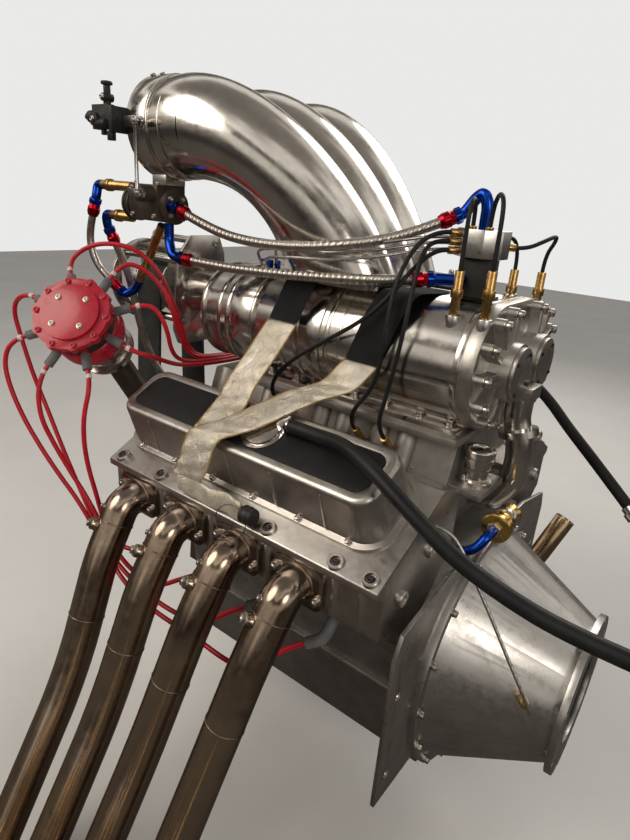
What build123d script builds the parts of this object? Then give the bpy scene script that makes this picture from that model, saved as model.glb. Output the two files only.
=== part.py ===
"""Supercharged V8 drag racing engine, in millimetres.

+X points to the rear of the car, -Y to the engine's left bank and +Z up. The origin is on the
crank axis, in the rear face of the motor plate. One STEP file is written for each node.
"""
import os
from math import asin, cos, pi, radians, sin, sqrt, tan

from build123d import *

os.makedirs("parts", exist_ok=True)

SIDES = (("left", -1), ("right", 1))
SEAT = 0.3  # gap left under a curved seat
RUN_FIT = 0.05  # radial clearance of a shaft in its bore

# Motor plate and bellhousing
PLATE_T = 6.4
PLATE_HALF = 300.0
PLATE_TOP = 212.0
PLATE_LOW = -120.0
PLATE_SHOULDER = 185.0
PLATE_FLAT_HALF = 160.0
MOUNT_HALF_Y = 275.0
MOUNT_HALF_Z = 75.0
MOUNT_HOLE_R = 6.5
BELL_R = 205.0
BELL_REAR_R = 118.0
BELL_LENGTH = 190.0
BELL_WALL = 7.0
BELL_FLANGE_T = 10.0
BELL_FLANGE_W = 14.0
BELL_MOUTH_R = 81.0
GEARBOX_HOLES = 8
GEARBOX_PITCH_R = 125.0
GEARBOX_HOLE_R = 5.0
CLUTCH_HUB_R = 40.0
CLUTCH_HUB_DEPTH = 20.0
CLUTCH_WINDOWS = 6
PLATE_BORE_R = 46.0

# Block, pan and front cover
BLOCK_FRONT = -566.0
DECK_HEIGHT = 249.0
DECK_OUT = 82.0
DECK_IN = 70.0
BANK = radians(45)
PAN_RAIL_Z = -60.0
PAN_RAIL_HALF = 145.0
VALLEY_Z = 180.0
VALLEY_HALF = 60.0
PAN_DEPTH = 150.0
PAN_HALF = 112.0
PAN_RAIL_T = 8.0
COVER_T = 46.0
CRANK_R = 25.0
CRANK_HUB_R = 36.0
CRANK_BORE_DEPTH = 30.0

# Heads and valve covers
HEAD_FRONT = -572.0
HEAD_REAR = -22.0
INTAKE_FACE_Y = 118.0
COVER_TILT = radians(28)
RAIL_OUT = (300.0, 285.0)
RAIL_WIDTH = 141.0
RAIL_REAR = -40.0
RAIL_LENGTH = 536.0
LIP_T = 8.0
LIP_R = 48.0
COVER_INSET = 9.0
COVER_HEIGHT = 82.0
COVER_DRAFT = 8.0
PANEL_BORDER = 7.0
PANEL_DEPTH = 1.2
BREATHER_R = 33.0
BREATHER_X = -271.0
BREATHER_RING_T = 3.0
BREATHER_CAP_T = 4.4
NIPPLE_R = 8.0
NIPPLE_LIFT = 13.5  # the nipple's axis above the cover's top
NIPPLE_X = (-244.0, -232.0, -228.0)  # both ends of its riser, and its mouth
NIPPLE_UP = 17.0  # how far up the cover's slope it sits

# Exhaust headers
PORT_X = (-505.0, -387.0, -270.0, -153.0)
HEADER_R = 28.5
HEADER_WALL = 1.8
PORT_FACE_Y = 318.0
PORT_Z = 216.0
HEADER_FLANGE_T = 9.0
HEADER_LEAN = (0.0, -20.0, -38.0, -42.0)  # how far each tube leans to the front, far out
# A tube's corners from the port to its tip: y outward, z, share of its lean, and its sweep to the rear
HEADER_RUN = (
    (356.0, 212.0, 0.0, 0.0),
    (404.0, 126.0, 0.2, 0.0),
    (470.0, -64.0, 0.8, 0.0),
    (640.0, -334.0, 1.0, 10.0),
    (722.0, -366.0, 1.0, 50.0),
    (790.0, -280.0, 1.0, 100.0),
    (846.0, -130.0, 1.0, 150.0),
)

# Blower
ROTOR_Z = 502.0
ROTOR_HALF = 51.0
CASE_R = 91.0
CASE_REAR = -45.0
CASE_FRONT = -283.0
STEP_FRONT = -310.0
GEAR_MID = -430.0
GEAR_FRONT = -560.0
GEAR_R = 86.0
END_T = 20.0
BOSS_R = 43.0
BOSS_X = 5.0
CAP_R = 39.0
CAP_T = 6.0
REAR_BOLT_R = 82.0
REAR_BOSS_R = 8.5
REAR_RIB_W = 10.0
REAR_RIB_X = -8.0
FOOT_HALF = 124.0
FOOT_T = 12.0
FOOT_FRONT = -429.0

# Manifold
MANIFOLD_TOP = ROTOR_Z - CASE_R - 6.0
MANIFOLD_TOP_T = 12.0
MANIFOLD_FRONT = -560.0
MANIFOLD_REAR = -46.0

# Blower drive
DRIVE_Z = 510.0
NECK_R = 44.0
DRIVE_PLATE_X = -711.0
DRIVE_PLATE_T = 7.0
OUTBOARD_X = -899.0
BELT_REAR = -774.0
BELT_WIDTH = 76.0
UPPER_R = 54.0
LOWER_R = 72.0
BELT_GAP = 1.0
BELT_T = 6.0
PULLEY_TEETH = 24
FLANGE_T = 3.0
DRIVE_SHAFT_R = 16.0
RING_OUT_R = 90.0
RING_IN_R = 66.0
SPOKES = 3
SPOKE_W = 16.0
# y and z of the drive's posts
POSTS = ((-46.0, 571.0), (-46.0, 449.0), (46.0, 449.0), (38.0, 606.0))
POST_R = 8.0

# Intake elbow and throttle body
BARREL_PITCH = 147.0
BARREL_R = 77.0
BARREL_WALL = 3.0
MOUTH_Z = 805.0
ELBOW_FRONT = -594.0
THROTTLE_FRONT = -638.0
ELBOW_BASE_Z = 603.0
SHAFT_X = -616.0
SHAFT_R = 5.0
BLADE_R = 71.0
BLADE_T = 3.0
BORE_R = 71.6
LEVER_Y = -238.0
LINK_Y = LEVER_Y - 8.0
ARM = 26.0
PIN_R = 3.0
SPINDLE_Z = 700.0
SPINDLE_R = 4.0
VALVE_FACE_Y = -226.0
HOSE_D = 15.0
RETURN_HOSE_D = 14.0
BREATHER_HOSE_D = 20.0
LEAD_D = 8.0
NOZZLE_HOSE_D = 6.0
PORT_HOSE_D = 6.5
LINE_D = 5.0
COLLAR_R = 10.5
COLLAR_LENGTH = 22.0
ELBOW_R = 8.5

# Fuel system
VALVE = (-644.0, -170.0, 681.0)
BLOCK_AT = (-84.0, -40.0)
BLOCK_Z = (652.0, 690.0)
BLOCK_FLAT = 35.0  # from its centre to each of its eight flats
STUB_REACH = 49.0
STUB_R = 5.5
STUB_TOP = 694.0

# Distributor
CAP_CENTRE = Vector(-657, -337, 504)
CAP_AXIS = Vector(0.42, -0.69, 0.585).normalized()
DIST_CAP_R = 69.0

# Nozzles, pump and the small hoses
# x, y and top of each nozzle on the blower
NOZZLES = ((-80, -110, 637), (-35, -110, 642), (-74, 84, 631), (-36, 100, 631))
PORT_NOZZLE_X = (-350, -195, -142)
PUMP_TOP = 176.0

# Restraint straps and their sleeves
BAND_W = 60.0
SLEEVE_T = 8.0
STRAP_T = 3.0
# x, outward y, z, and the outward and upward parts of the band's normal
SLEEVE_FRONT = (
    (-352, 150, 524, 1, 0.35), (-358, 188, 477, 0.8, 0.6), (-364, 228, 432, 0.62, 0.78),
    (-360, 250, 409.6, 0.469, 0.883), (-350, 300, 383.0, 0.469, 0.883), (-347, 316, 374.6, 0.469, 0.883),
)
SLEEVE_REAR = (
    (-196, 150, 490, 1, 0.2), (-215, 178, 455, 0.8, 0.6), (-253, 217, 435.5, 0.5, 0.86),
    (-302, 290, 398.2, 0.469, 0.883), (-338, 329, 379, 0.8, 0.6), (-352, 338, 330, 1, 0),
    (-370, 335, 303, 1, -0.1),
)
STRAP_FRONT = ((-352, 149.9, 524.3, 1, 0.35), (-334, 150, 562, 1, 0), (-316, 147.8, 601, 1, 0))
STRAP_REAR = (
    (-196, 149.94, 490.3, 1, 0.2), (-183, 147, 527, 1, 0.05), (-167, 146, 570, 1, 0.1),
    (-160, 120, 597, 0.6, 0.8), (-157, 51, 594.9, 0, 1), (-156, 18, 594.9, 0, 1),
)

# Distributor cap, spark plugs and leads
CAP_DEEP = (12.0, 46.0, 91.0, 150.0, 190.0)  # rear of the rim, of the leads' tower, bowl, body and shank
RIM_LOBES = 10
LEADS = 8
TOWER_DEEP = 33.0
TOWER_R = 63.5
BOOT_R = 92.0
LEAD_RUN = 28.0
PLUG_X = (-461.0, -343.0, -226.0, -109.0)
PLUG_SEAT = (285.0, 161.3)
PLUG_OUT, PLUG_DOWN = 0.647, 0.763
BOOT_RUNS = (38.0, 28.0, 36.0)  # a boot's straight part, its bent part, and the lead's first run from it
BOOT_WAY = (-0.8, 0.36, -0.48)
# the middle corners of each lead, from the front plug's to the rear one's
LEADS_LEFT = [
    [(-598, -362, 345), (-600, -364, 295), (-598, -360, 245), (-588, -354, 195), (-577, -351, 148),
     (-553, -345, 108)],
    [(-668, -402, 335), (-652, -388, 280), (-634, -372, 228), (-608, -358, 178), (-572, -352, 126),
     (-528, -349, 84), (-478, -346, 70), (-430, -344, 76)],
    [(-760, -408, 412), (-748, -408, 365), (-728, -400, 312), (-704, -388, 262), (-674, -374, 212),
     (-636, -360, 164), (-590, -354, 110), (-538, -352, 73), (-480, -352, 56), (-420, -354, 52),
     (-360, -352, 55), (-312, -348, 66)],
    [(-818, -356, 492), (-806, -350, 430), (-789, -344, 366), (-762, -336, 300), (-728, -334, 238),
     (-684, -334, 178), (-628, -339, 120), (-565, -350, 68), (-495, -357, 40), (-415, -359, 34),
     (-330, -357, 38), (-245, -358, 35), (-200, -352, 50)],
]
LEADS_RIGHT = [
    [(-552, -252, 438), (-560, -214, 420), (-577, -172, 404), (-585, -120, 394), (-583, -50, 390),
     (-586, 20, 388), (-583, 95, 389), (-586, 165, 382), (-584, 225, 352), (-586, 280, 306),
     (-584, 325, 250), (-585, 352, 190), (-576, 351, 146), (-553, 345, 107)],
    [(-570, -222, 508), (-562, -212, 474), (-569, -200, 440), (-586, -170, 412), (-597, -120, 397),
     (-595, -50, 392), (-598, 20, 390), (-595, 95, 391), (-598, 168, 386), (-596, 232, 356),
     (-598, 290, 308), (-596, 337, 250), (-597, 362, 186), (-574, 360, 124), (-532, 354, 84),
     (-480, 347, 70), (-430, 344, 76)],
    [(-650, -216, 582), (-622, -196, 564), (-600, -180, 528), (-592, -170, 484), (-597, -150, 440),
     (-608, -115, 403), (-607, -45, 393), (-610, 25, 391), (-607, 98, 392), (-610, 172, 389),
     (-608, 238, 360), (-610, 298, 310), (-608, 348, 248), (-609, 372, 180), (-584, 368, 112),
     (-536, 360, 66), (-480, 354, 53), (-420, 356, 51), (-360, 354, 55), (-312, 349, 66)],
    [(-738, -258, 598), (-706, -236, 612), (-660, -205, 608), (-630, -178, 574), (-614, -160, 524),
     (-612, -142, 470), (-617, -120, 424), (-620, -90, 398), (-619, -30, 392), (-622, 35, 391),
     (-619, 104, 392), (-622, 178, 389), (-620, 244, 362), (-622, 304, 312), (-620, 356, 248),
     (-621, 382, 172), (-594, 377, 98), (-540, 366, 47), (-480, 360, 36), (-400, 361, 33),
     (-320, 359, 39), (-240, 361, 34), (-200, 354, 49)],
]
# the boot on the distributor from which each plug's lead starts, from the front plug to the rear
START_LEFT = (2, 1, 0, 7)
START_RIGHT = (3, 4, 5, 6)


def save(name, shape):
    """Writes one node's STEP file."""
    shape.label = name
    export_step(shape, f"parts/{name}.step")


def prism(points, x0, x1, side=1):
    """A solid with a y-z outline, from x0 to x1, mirrored to the bank on the given side."""
    outline = [(side * y, z) for y, z in points]
    face = Plane.YZ.offset(x0) * make_face(Polyline(*outline, close=True))
    return extrude(face, amount=x1 - x0, dir=(1, 0, 0))


def rod(start, end, radius):
    """A round bar between two points."""
    a, b = Vector(*start), Vector(*end)
    d = b - a
    return extrude(Plane(origin=a, z_dir=d.normalized()) * Circle(radius), amount=d.length)


def block_between(x0, x1, y0, y1, z0, z1):
    """A box by its limits."""
    return Pos((x0 + x1) / 2, (y0 + y1) / 2, (z0 + z1) / 2) * Box(abs(x1 - x0), abs(y1 - y0), abs(z1 - z0))


def arc_radii(points):
    """The radius of each corner of a route: 0.45 of its shorter run over the tangent of half the turn."""
    radii = []
    for a, b, c in zip(points, points[1:], points[2:]):
        p, q = Vector(*b) - Vector(*a), Vector(*c) - Vector(*b)
        turn = radians(p.get_angle(q))
        radii.append(0.45 * min(p.length, q.length) / tan(turn / 2))
    return radii


def route(points):
    """Straight runs joined by tangent arcs."""
    return FilletPolyline(*points, radius=arc_radii(points))


def tube(points, radius):
    """A round tube along a route."""
    path = route(points)
    return sweep(Plane(origin=path @ 0, z_dir=path % 0) * Circle(radius), path=path)


def cord(name, points, diameter):
    """The solid of one hose or lead, with its tightest radius and length printed."""
    path = route(points)
    solid = tube(points, diameter / 2)
    tightest = min(arc_radii(points)) / diameter
    share = solid.volume / (pi * diameter ** 2 / 4 * path.length)
    print(f"{name}: length {path.length:.0f}, least radius {tightest:.1f} diameters, share {share:.3f}")
    return solid


def stadium(x0, x1, radius, half=ROTOR_HALF, z=ROTOR_Z):
    """The blower's long rounded section, around both rotors, from x0 to x1."""
    plane = Plane(origin=(x0, 0, z), x_dir=(0, 1, 0), z_dir=(1, 0, 0))
    return extrude(plane * SlotCenterToCenter(2 * half, 2 * radius), amount=x1 - x0)


def disc(x0, x1, y, z, radius):
    """A round solid along X."""
    return Plane(origin=(x0, y, z), x_dir=(0, 1, 0), z_dir=(1, 0, 0)) * Cylinder(
        radius, x1 - x0, align=(Align.CENTER, Align.CENTER, Align.MIN))


# Motor plate: the chassis bolts hold it, and it carries the engine between the block and the bellhousing
plate_outline = (
    (-PLATE_HALF, PLATE_LOW), (PLATE_HALF, PLATE_LOW), (PLATE_HALF, 150), (PLATE_HALF - 14, PLATE_SHOULDER),
    (PLATE_FLAT_HALF, PLATE_TOP), (-PLATE_FLAT_HALF, PLATE_TOP), (-PLATE_HALF + 14, PLATE_SHOULDER),
    (-PLATE_HALF, 150),
)
motor_plate = prism(plate_outline, -PLATE_T, 0) - disc(-PLATE_T - 1, 1, 0, 0, PLATE_BORE_R)
for hy in (-MOUNT_HALF_Y, MOUNT_HALF_Y):
    for hz in (-MOUNT_HALF_Z, MOUNT_HALF_Z):
        motor_plate -= disc(-PLATE_T - 1, 1, hy, hz, MOUNT_HOLE_R)
save("motor_plate", motor_plate)

# Bellhousing: a spun cone with a bolt flange at each end
bell_profile = Polyline(
    (0, BELL_R), (0, BELL_R + BELL_FLANGE_W),
    (BELL_FLANGE_T, BELL_R + BELL_FLANGE_W), (BELL_FLANGE_T, BELL_R),
    (BELL_LENGTH - BELL_FLANGE_T, BELL_REAR_R), (BELL_LENGTH - BELL_FLANGE_T, BELL_REAR_R + BELL_FLANGE_W),
    (BELL_LENGTH, BELL_REAR_R + BELL_FLANGE_W), (BELL_LENGTH, BELL_MOUTH_R),
    (BELL_LENGTH - BELL_FLANGE_T, BELL_MOUTH_R),
    (BELL_LENGTH - BELL_FLANGE_T - 1, BELL_REAR_R - BELL_WALL),
    (BELL_FLANGE_T, BELL_R - BELL_WALL), (0, BELL_R - BELL_WALL), close=True)
bellhousing = revolve(Plane.XZ * make_face(bell_profile), axis=Axis.X)
for i in range(GEARBOX_HOLES):
    a = 2 * pi * (i + 0.5) / GEARBOX_HOLES
    bellhousing -= disc(BELL_LENGTH - BELL_FLANGE_T - 5, BELL_LENGTH + 1, GEARBOX_PITCH_R * cos(a),
                        GEARBOX_PITCH_R * sin(a), GEARBOX_HOLE_R)
save("bellhousing", bellhousing)

# Block: a V at 90 degrees with its crankcase
deck = Vector(DECK_HEIGHT * sin(BANK), DECK_HEIGHT * cos(BANK))
along = Vector(cos(BANK), -sin(BANK))
deck_out, deck_in = deck + along * DECK_OUT, deck - along * DECK_IN
half = [(PAN_RAIL_HALF - 5, PAN_RAIL_Z), (150, 20), (deck_out.X, deck_out.Y), (deck_in.X, deck_in.Y),
        (VALLEY_HALF, VALLEY_Z)]
block = prism(half + [(-y, z) for y, z in reversed(half)], BLOCK_FRONT, -PLATE_T)
block -= disc(-PLATE_T - CLUTCH_HUB_DEPTH - 1, -PLATE_T + 1, 0, 0, CLUTCH_HUB_R + RUN_FIT)
save("block", block)

# Clutch on the crank's rear end: flywheel, plate pack and cover with its finger windows
clutch_profile = Polyline(
    (-PLATE_T - CLUTCH_HUB_DEPTH, 0), (-PLATE_T - CLUTCH_HUB_DEPTH, CLUTCH_HUB_R),
    (6, CLUTCH_HUB_R), (6, 150), (26, 150), (26, 110), (90, 110), (90, 116), (100, 116), (100, 34),
     (112, 34), (112, 0), close=True)
clutch = revolve(Plane.XZ * make_face(clutch_profile), axis=Axis.X)
for i in range(CLUTCH_WINDOWS):
    window = block_between(88, 101, -13, 13, 52, 96)
    clutch -= Rot(360 * i / CLUTCH_WINDOWS, 0, 0) * window
save("clutch", clutch)

# Oil pan
pan = block_between(BLOCK_FRONT, -PLATE_T, -PAN_RAIL_HALF, PAN_RAIL_HALF, PAN_RAIL_Z - PAN_RAIL_T, PAN_RAIL_Z)
pan_low = PAN_RAIL_Z - PAN_RAIL_T - PAN_DEPTH
pan += prism(
    [(-PAN_HALF - 18, PAN_RAIL_Z - PAN_RAIL_T), (PAN_HALF + 18, PAN_RAIL_Z - PAN_RAIL_T),
     (PAN_HALF + 18, PAN_RAIL_Z - 60), (PAN_HALF, pan_low),
     (-PAN_HALF, pan_low), (-PAN_HALF - 18, PAN_RAIL_Z - 60)],
    BLOCK_FRONT + 10, -PLATE_T - 10)
save("oil_pan", pan)

# Front cover with the crank's bore
cover_front = BLOCK_FRONT - COVER_T
front_cover = prism([(-120, PAN_RAIL_Z), (120, PAN_RAIL_Z), (112, 90), (70, 172), (-70, 172), (-112, 90)],
                    cover_front, BLOCK_FRONT)
front_cover += disc(cover_front - 12, cover_front, 0, 0, 52)
front_cover += disc(cover_front - 8, cover_front, 0, 128, 40)
front_cover -= disc(cover_front - 13, cover_front - 12 + CRANK_BORE_DEPTH + 2, 0, 0, CRANK_R + RUN_FIT)
save("front_cover", front_cover)

# Heads, and the tilted frame in which each valve cover is drawn
mouths = {}
for side_name, s in SIDES:
    rail = Vector(cos(COVER_TILT), -sin(COVER_TILT))
    rail_in = (RAIL_OUT[0] - rail.X * RAIL_WIDTH, RAIL_OUT[1] - rail.Y * RAIL_WIDTH)
    head = prism(
        [(deck_in.X, deck_in.Y), (deck_out.X, deck_out.Y), (300, 174), (PORT_FACE_Y, 184), (PORT_FACE_Y, 248),
         (334, 256), (334, 267), (RAIL_OUT[0] + rail.X * 12, RAIL_OUT[1] + rail.Y * 12), RAIL_OUT,
         rail_in, (rail_in[0] - 26, rail_in[1] - 8), (INTAKE_FACE_Y, 330), (INTAKE_FACE_Y, 244)],
        HEAD_FRONT, HEAD_REAR, s)
    save(f"head_{side_name}", head)

    centre_y = s * (RAIL_OUT[0] - rail.X * RAIL_WIDTH / 2)
    centre_z = RAIL_OUT[1] - rail.Y * RAIL_WIDTH / 2
    seat = Plane(origin=(RAIL_REAR - RAIL_LENGTH / 2, centre_y, centre_z), x_dir=(1, 0, 0),
                 z_dir=(0, s * sin(COVER_TILT), cos(COVER_TILT)))
    lip = extrude(seat * RectangleRounded(RAIL_LENGTH, RAIL_WIDTH, LIP_R), amount=LIP_T)
    body = extrude(seat.offset(LIP_T) * RectangleRounded(
        RAIL_LENGTH - 2 * COVER_INSET, RAIL_WIDTH - 2 * COVER_INSET, LIP_R - COVER_INSET),
        amount=COVER_HEIGHT - LIP_T, taper=COVER_DRAFT)
    top_face = body.faces().sort_by(lambda f: (f.center() - seat.origin).dot(seat.z_dir))[-1]
    body = fillet(top_face.edges(), 9)
    flat = body.faces().sort_by(lambda f: (f.center() - seat.origin).dot(seat.z_dir))[-1]
    size = flat.bounding_box().size
    body -= extrude(seat.offset(COVER_HEIGHT - PANEL_DEPTH) * RectangleRounded(
        size.X - 2 * PANEL_BORDER, size.Y / cos(COVER_TILT) - 2 * PANEL_BORDER, 20), amount=PANEL_DEPTH + 1)
    save(f"valve_cover_{side_name}", lip + body)

    cap_seat = seat.offset(COVER_HEIGHT - PANEL_DEPTH)
    breather_dx = BREATHER_X - (RAIL_REAR - RAIL_LENGTH / 2)
    bottom = (Align.CENTER, Align.CENTER, Align.MIN)
    breather = cap_seat * Pos(breather_dx, 0, 0) * Cylinder(BREATHER_R, BREATHER_RING_T, align=bottom)
    breather_top = Cylinder(BREATHER_R - 6, BREATHER_CAP_T, align=bottom)
    breather += cap_seat * Pos(breather_dx, 0, BREATHER_RING_T) * breather_top
    riser_dx = (NIPPLE_X[0] + NIPPLE_X[1]) / 2 - seat.origin.X
    lift = NIPPLE_LIFT + PANEL_DEPTH
    riser = Box(NIPPLE_X[1] - NIPPLE_X[0], 20, lift + 8)
    breather += cap_seat * Pos(riser_dx, -s * NIPPLE_UP, lift / 2 + 4) * riser
    mouth = cap_seat.from_local_coords((riser_dx, -s * NIPPLE_UP, lift))
    breather += disc(NIPPLE_X[0], NIPPLE_X[2], mouth.Y, mouth.Z, NIPPLE_R)
    mouths[s] = (mouth.Y, mouth.Z)
    print(f"breather mouth {side_name}: y {mouth.Y:.1f} z {mouth.Z:.1f}")
    save(f"breather_{side_name}", breather)

# Intake manifold under the blower
manifold = prism(
    [(-INTAKE_FACE_Y, 244), (INTAKE_FACE_Y, 244), (INTAKE_FACE_Y, 328), (96, MANIFOLD_TOP - MANIFOLD_TOP_T),
     (-96, MANIFOLD_TOP - MANIFOLD_TOP_T), (-INTAKE_FACE_Y, 328)],
    MANIFOLD_FRONT, MANIFOLD_REAR)
manifold += block_between(FOOT_FRONT - 6, CASE_REAR + 6, -FOOT_HALF, FOOT_HALF, MANIFOLD_TOP - MANIFOLD_TOP_T,
                          MANIFOLD_TOP)
manifold += block_between(MANIFOLD_REAR, 6, -110, 110, 318, 330)
manifold -= block_between(MANIFOLD_REAR, 7, -24, 24, 317, 331)
save("intake_manifold", manifold)

# Relief cap on the manifold's rear shelf
relief = Pos(-19, -75, 330) * Cylinder(24, 8, align=(Align.CENTER, Align.CENTER, Align.MIN))
relief += Pos(-19, -75, 338) * Cylinder(20, 30, align=(Align.CENTER, Align.CENTER, Align.MIN))
relief += Pos(-19, -75, 368) * Cylinder(23, 20, align=(Align.CENTER, Align.CENTER, Align.MIN))
save("relief_cap", relief)

# Blower case with its foot
case = stadium(CASE_FRONT, CASE_REAR, CASE_R)
case += stadium(STEP_FRONT, CASE_FRONT, CASE_R + 3)
case -= block_between(STEP_FRONT - 1, CASE_FRONT + 1, -160, 160, ROTOR_Z + CASE_R, ROTOR_Z + CASE_R + 10)
foot_z = MANIFOLD_TOP
case += block_between(FOOT_FRONT, CASE_REAR, -FOOT_HALF + 8, FOOT_HALF - 8, foot_z, foot_z + FOOT_T)
neck_half = ROTOR_HALF + 40
case += block_between(FOOT_FRONT + 20, CASE_REAR, -neck_half, neck_half, foot_z + FOOT_T, foot_z + 50)
case += stadium(GEAR_MID, STEP_FRONT, CASE_R - 2)
save("blower_case", case)

# Gear case in front of the rotors, and the drive's neck
gear = stadium(GEAR_MID - 60, GEAR_MID, GEAR_R + 4)
gear += stadium(GEAR_FRONT, GEAR_MID - 60, GEAR_R)
neck = disc(DRIVE_PLATE_X, GEAR_FRONT, 0, DRIVE_Z, NECK_R)
neck -= disc(DRIVE_PLATE_X - 1, DRIVE_PLATE_X + 50, 0, DRIVE_Z, DRIVE_SHAFT_R + RUN_FIT)
gear += neck
save("blower_gear_case", gear)

# Rear bearing cover: flange, ribs and two bosses
rear = stadium(CASE_REAR, CASE_REAR + END_T, CASE_R + 2)
rear_face = CASE_REAR + END_T
for s in (-1, 1):
    rear += disc(rear_face, BOSS_X, s * ROTOR_HALF, ROTOR_Z, BOSS_R)
    for angle in range(-90, 91, 30):
        half_rib = REAR_RIB_W / 2
        rib = block_between(rear_face, REAR_RIB_X, -half_rib, half_rib, BOSS_R - 3, REAR_BOLT_R + 2)
        rib += disc(rear_face, rear_face + 14, 0, REAR_BOLT_R, REAR_BOSS_R)
        rear += Pos(0, s * ROTOR_HALF, ROTOR_Z) * Rot(-s * (90 - angle), 0, 0) * rib
rear += block_between(rear_face, 22, -22, 22, 456, 476)
save("blower_rear_cover", rear)
caps = disc(BOSS_X, BOSS_X + CAP_T, -ROTOR_HALF, ROTOR_Z, CAP_R) + disc(
    BOSS_X, BOSS_X + CAP_T, ROTOR_HALF, ROTOR_Z, CAP_R)
save("bearing_caps", caps)

# Blower drive: inner plate, posts and outboard plate
drive_outline = [(-60, 400), (-73, 432), (-70, 500), (-60, 586), (-28, 623),
                 (50, 623), (66, 586), (73, 432), (60, 400)]
drive_plate = prism(drive_outline, DRIVE_PLATE_X - DRIVE_PLATE_T, DRIVE_PLATE_X)
drive_plate = fillet(drive_plate.edges().filter_by(Axis.X), 9)
drive_plate -= disc(DRIVE_PLATE_X - DRIVE_PLATE_T - 1, DRIVE_PLATE_X + 1, 0, DRIVE_Z, DRIVE_SHAFT_R + 6)
for y in (-54, 54):
    drive_plate -= disc(DRIVE_PLATE_X - DRIVE_PLATE_T - 1, DRIVE_PLATE_X + 1, y, DRIVE_Z - 8, 7)
save("drive_plate", drive_plate)

outboard_front = OUTBOARD_X - DRIVE_PLATE_T
outboard = disc(outboard_front, OUTBOARD_X, 0, DRIVE_Z, RING_OUT_R)
outboard -= disc(outboard_front - 1, OUTBOARD_X + 1, 0, DRIVE_Z, RING_IN_R)
for i in range(SPOKES):
    spoke = block_between(outboard_front, OUTBOARD_X, -SPOKE_W / 2, SPOKE_W / 2, 30, RING_IN_R + 4)
    outboard += Pos(0, 0, DRIVE_Z) * Rot(360 * i / SPOKES, 0, 0) * spoke
outboard += prism([(14, 590), (58, 576), (50, 610), (28, 614)], outboard_front, OUTBOARD_X)
outboard += disc(outboard_front, OUTBOARD_X, POSTS[3][0], POSTS[3][1], 14)
outboard += disc(outboard_front, OUTBOARD_X + 22, 0, DRIVE_Z, 34)
outboard -= disc(outboard_front - 1, OUTBOARD_X + 23, 0, DRIVE_Z, DRIVE_SHAFT_R + RUN_FIT)
save("outboard_plate", outboard)
posts = [disc(OUTBOARD_X, DRIVE_PLATE_X - DRIVE_PLATE_T, y, z, POST_R) for y, z in POSTS]
save("drive_posts", Compound(posts))

# Toothed pulleys, each with its shaft
belt_front = BELT_REAR - BELT_WIDTH


def toothed_pulley(y, z, radius):
    """A toothed drum between two flanges, as wide as the belt and its side clearance."""
    teeth = max(18, round(PULLEY_TEETH * radius / UPPER_R))
    drum = disc(belt_front - 3, BELT_REAR + 3, y, z, radius - 4)
    for i in range(teeth):
        a = 360 * i / teeth
        tooth = block_between(belt_front - 3, BELT_REAR + 3, -3.2, 3.2, radius - 5, radius)
        drum += Pos(0, y, z) * Rot(a, 0, 0) * tooth
    for x in (belt_front - 3 - FLANGE_T, BELT_REAR + 3):
        drum += disc(x, x + FLANGE_T, y, z, radius + BELT_T + 3)
    return drum


upper_pulley = toothed_pulley(0, DRIVE_Z, UPPER_R)
upper_pulley += disc(OUTBOARD_X - DRIVE_PLATE_T - 4, DRIVE_PLATE_X + 46, 0, DRIVE_Z, DRIVE_SHAFT_R)
save("blower_pulley", upper_pulley)
crank = toothed_pulley(0, 0, LOWER_R)
crank += disc(BELT_REAR + 3, cover_front - 12 - 5, 0, 0, CRANK_HUB_R)
crank += disc(cover_front - 12 - 5, cover_front - 12 + CRANK_BORE_DEPTH, 0, 0, CRANK_R)
save("crank_pulley", crank)

# Drive belt round both pulleys


def belt_hull(extra):
    """The outline of a belt round both pulleys, that far outside their teeth."""
    low, high = LOWER_R + extra, UPPER_R + extra
    lean = asin((low - high) / DRIVE_Z)
    corners = [(r * cos(lean), z + r * sin(lean)) for r, z in ((low, 0), (high, DRIVE_Z))]
    (ly, lz), (hy, hz) = corners
    edges = [Line((ly, lz), (hy, hz)), ThreePointArc((hy, hz), (0, DRIVE_Z + high), (-hy, hz)),
             Line((-hy, hz), (-ly, lz)), ThreePointArc((-ly, lz), (0, -low), (ly, lz))]
    return make_face(edges)


belt_plane = Plane(origin=(belt_front, 0, 0), x_dir=(0, 1, 0), z_dir=(1, 0, 0))
belt = extrude(belt_plane * belt_hull(BELT_GAP + BELT_T), amount=BELT_WIDTH) - extrude(
    belt_plane * belt_hull(BELT_GAP), amount=BELT_WIDTH)
save("drive_belt", belt)

# Intake elbow: three barrels that lean together and turn down to the blower
elbow_parts = []
for k in (-1, 0, 1):
    sections = [
        Plane(origin=(ELBOW_FRONT, k * BARREL_PITCH, MOUTH_Z), z_dir=(1, 0, 0)) * Circle(BARREL_R),
        Plane(origin=(-500, k * 138, 800), x_dir=(0, 1, 0), z_dir=(1, 0, -0.08)) * Ellipse(79, 76),
        Plane(origin=(-392, k * 104, 738), x_dir=(0, 1, 0), z_dir=(0.75, 0, -0.66)) * Ellipse(78, 68),
        Plane(origin=(-306, k * 66, ELBOW_BASE_Z), x_dir=(0, 1, 0), z_dir=(0, 0, -1)) * Ellipse(70, 100),
    ]
    elbow_parts.append(loft(sections))
elbow = elbow_parts[0] + elbow_parts[1] + elbow_parts[2]
for k in (-1, 0, 1):
    elbow -= disc(ELBOW_FRONT - 1, ELBOW_FRONT + 70, k * BARREL_PITCH, MOUTH_Z, BARREL_R - BARREL_WALL)
elbow_flange = Pos(-306, 0, ROTOR_Z + CASE_R) * extrude(RectangleRounded(216, 292, 34), amount=10)
elbow += elbow_flange
save("intake_elbow", elbow)

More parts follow.
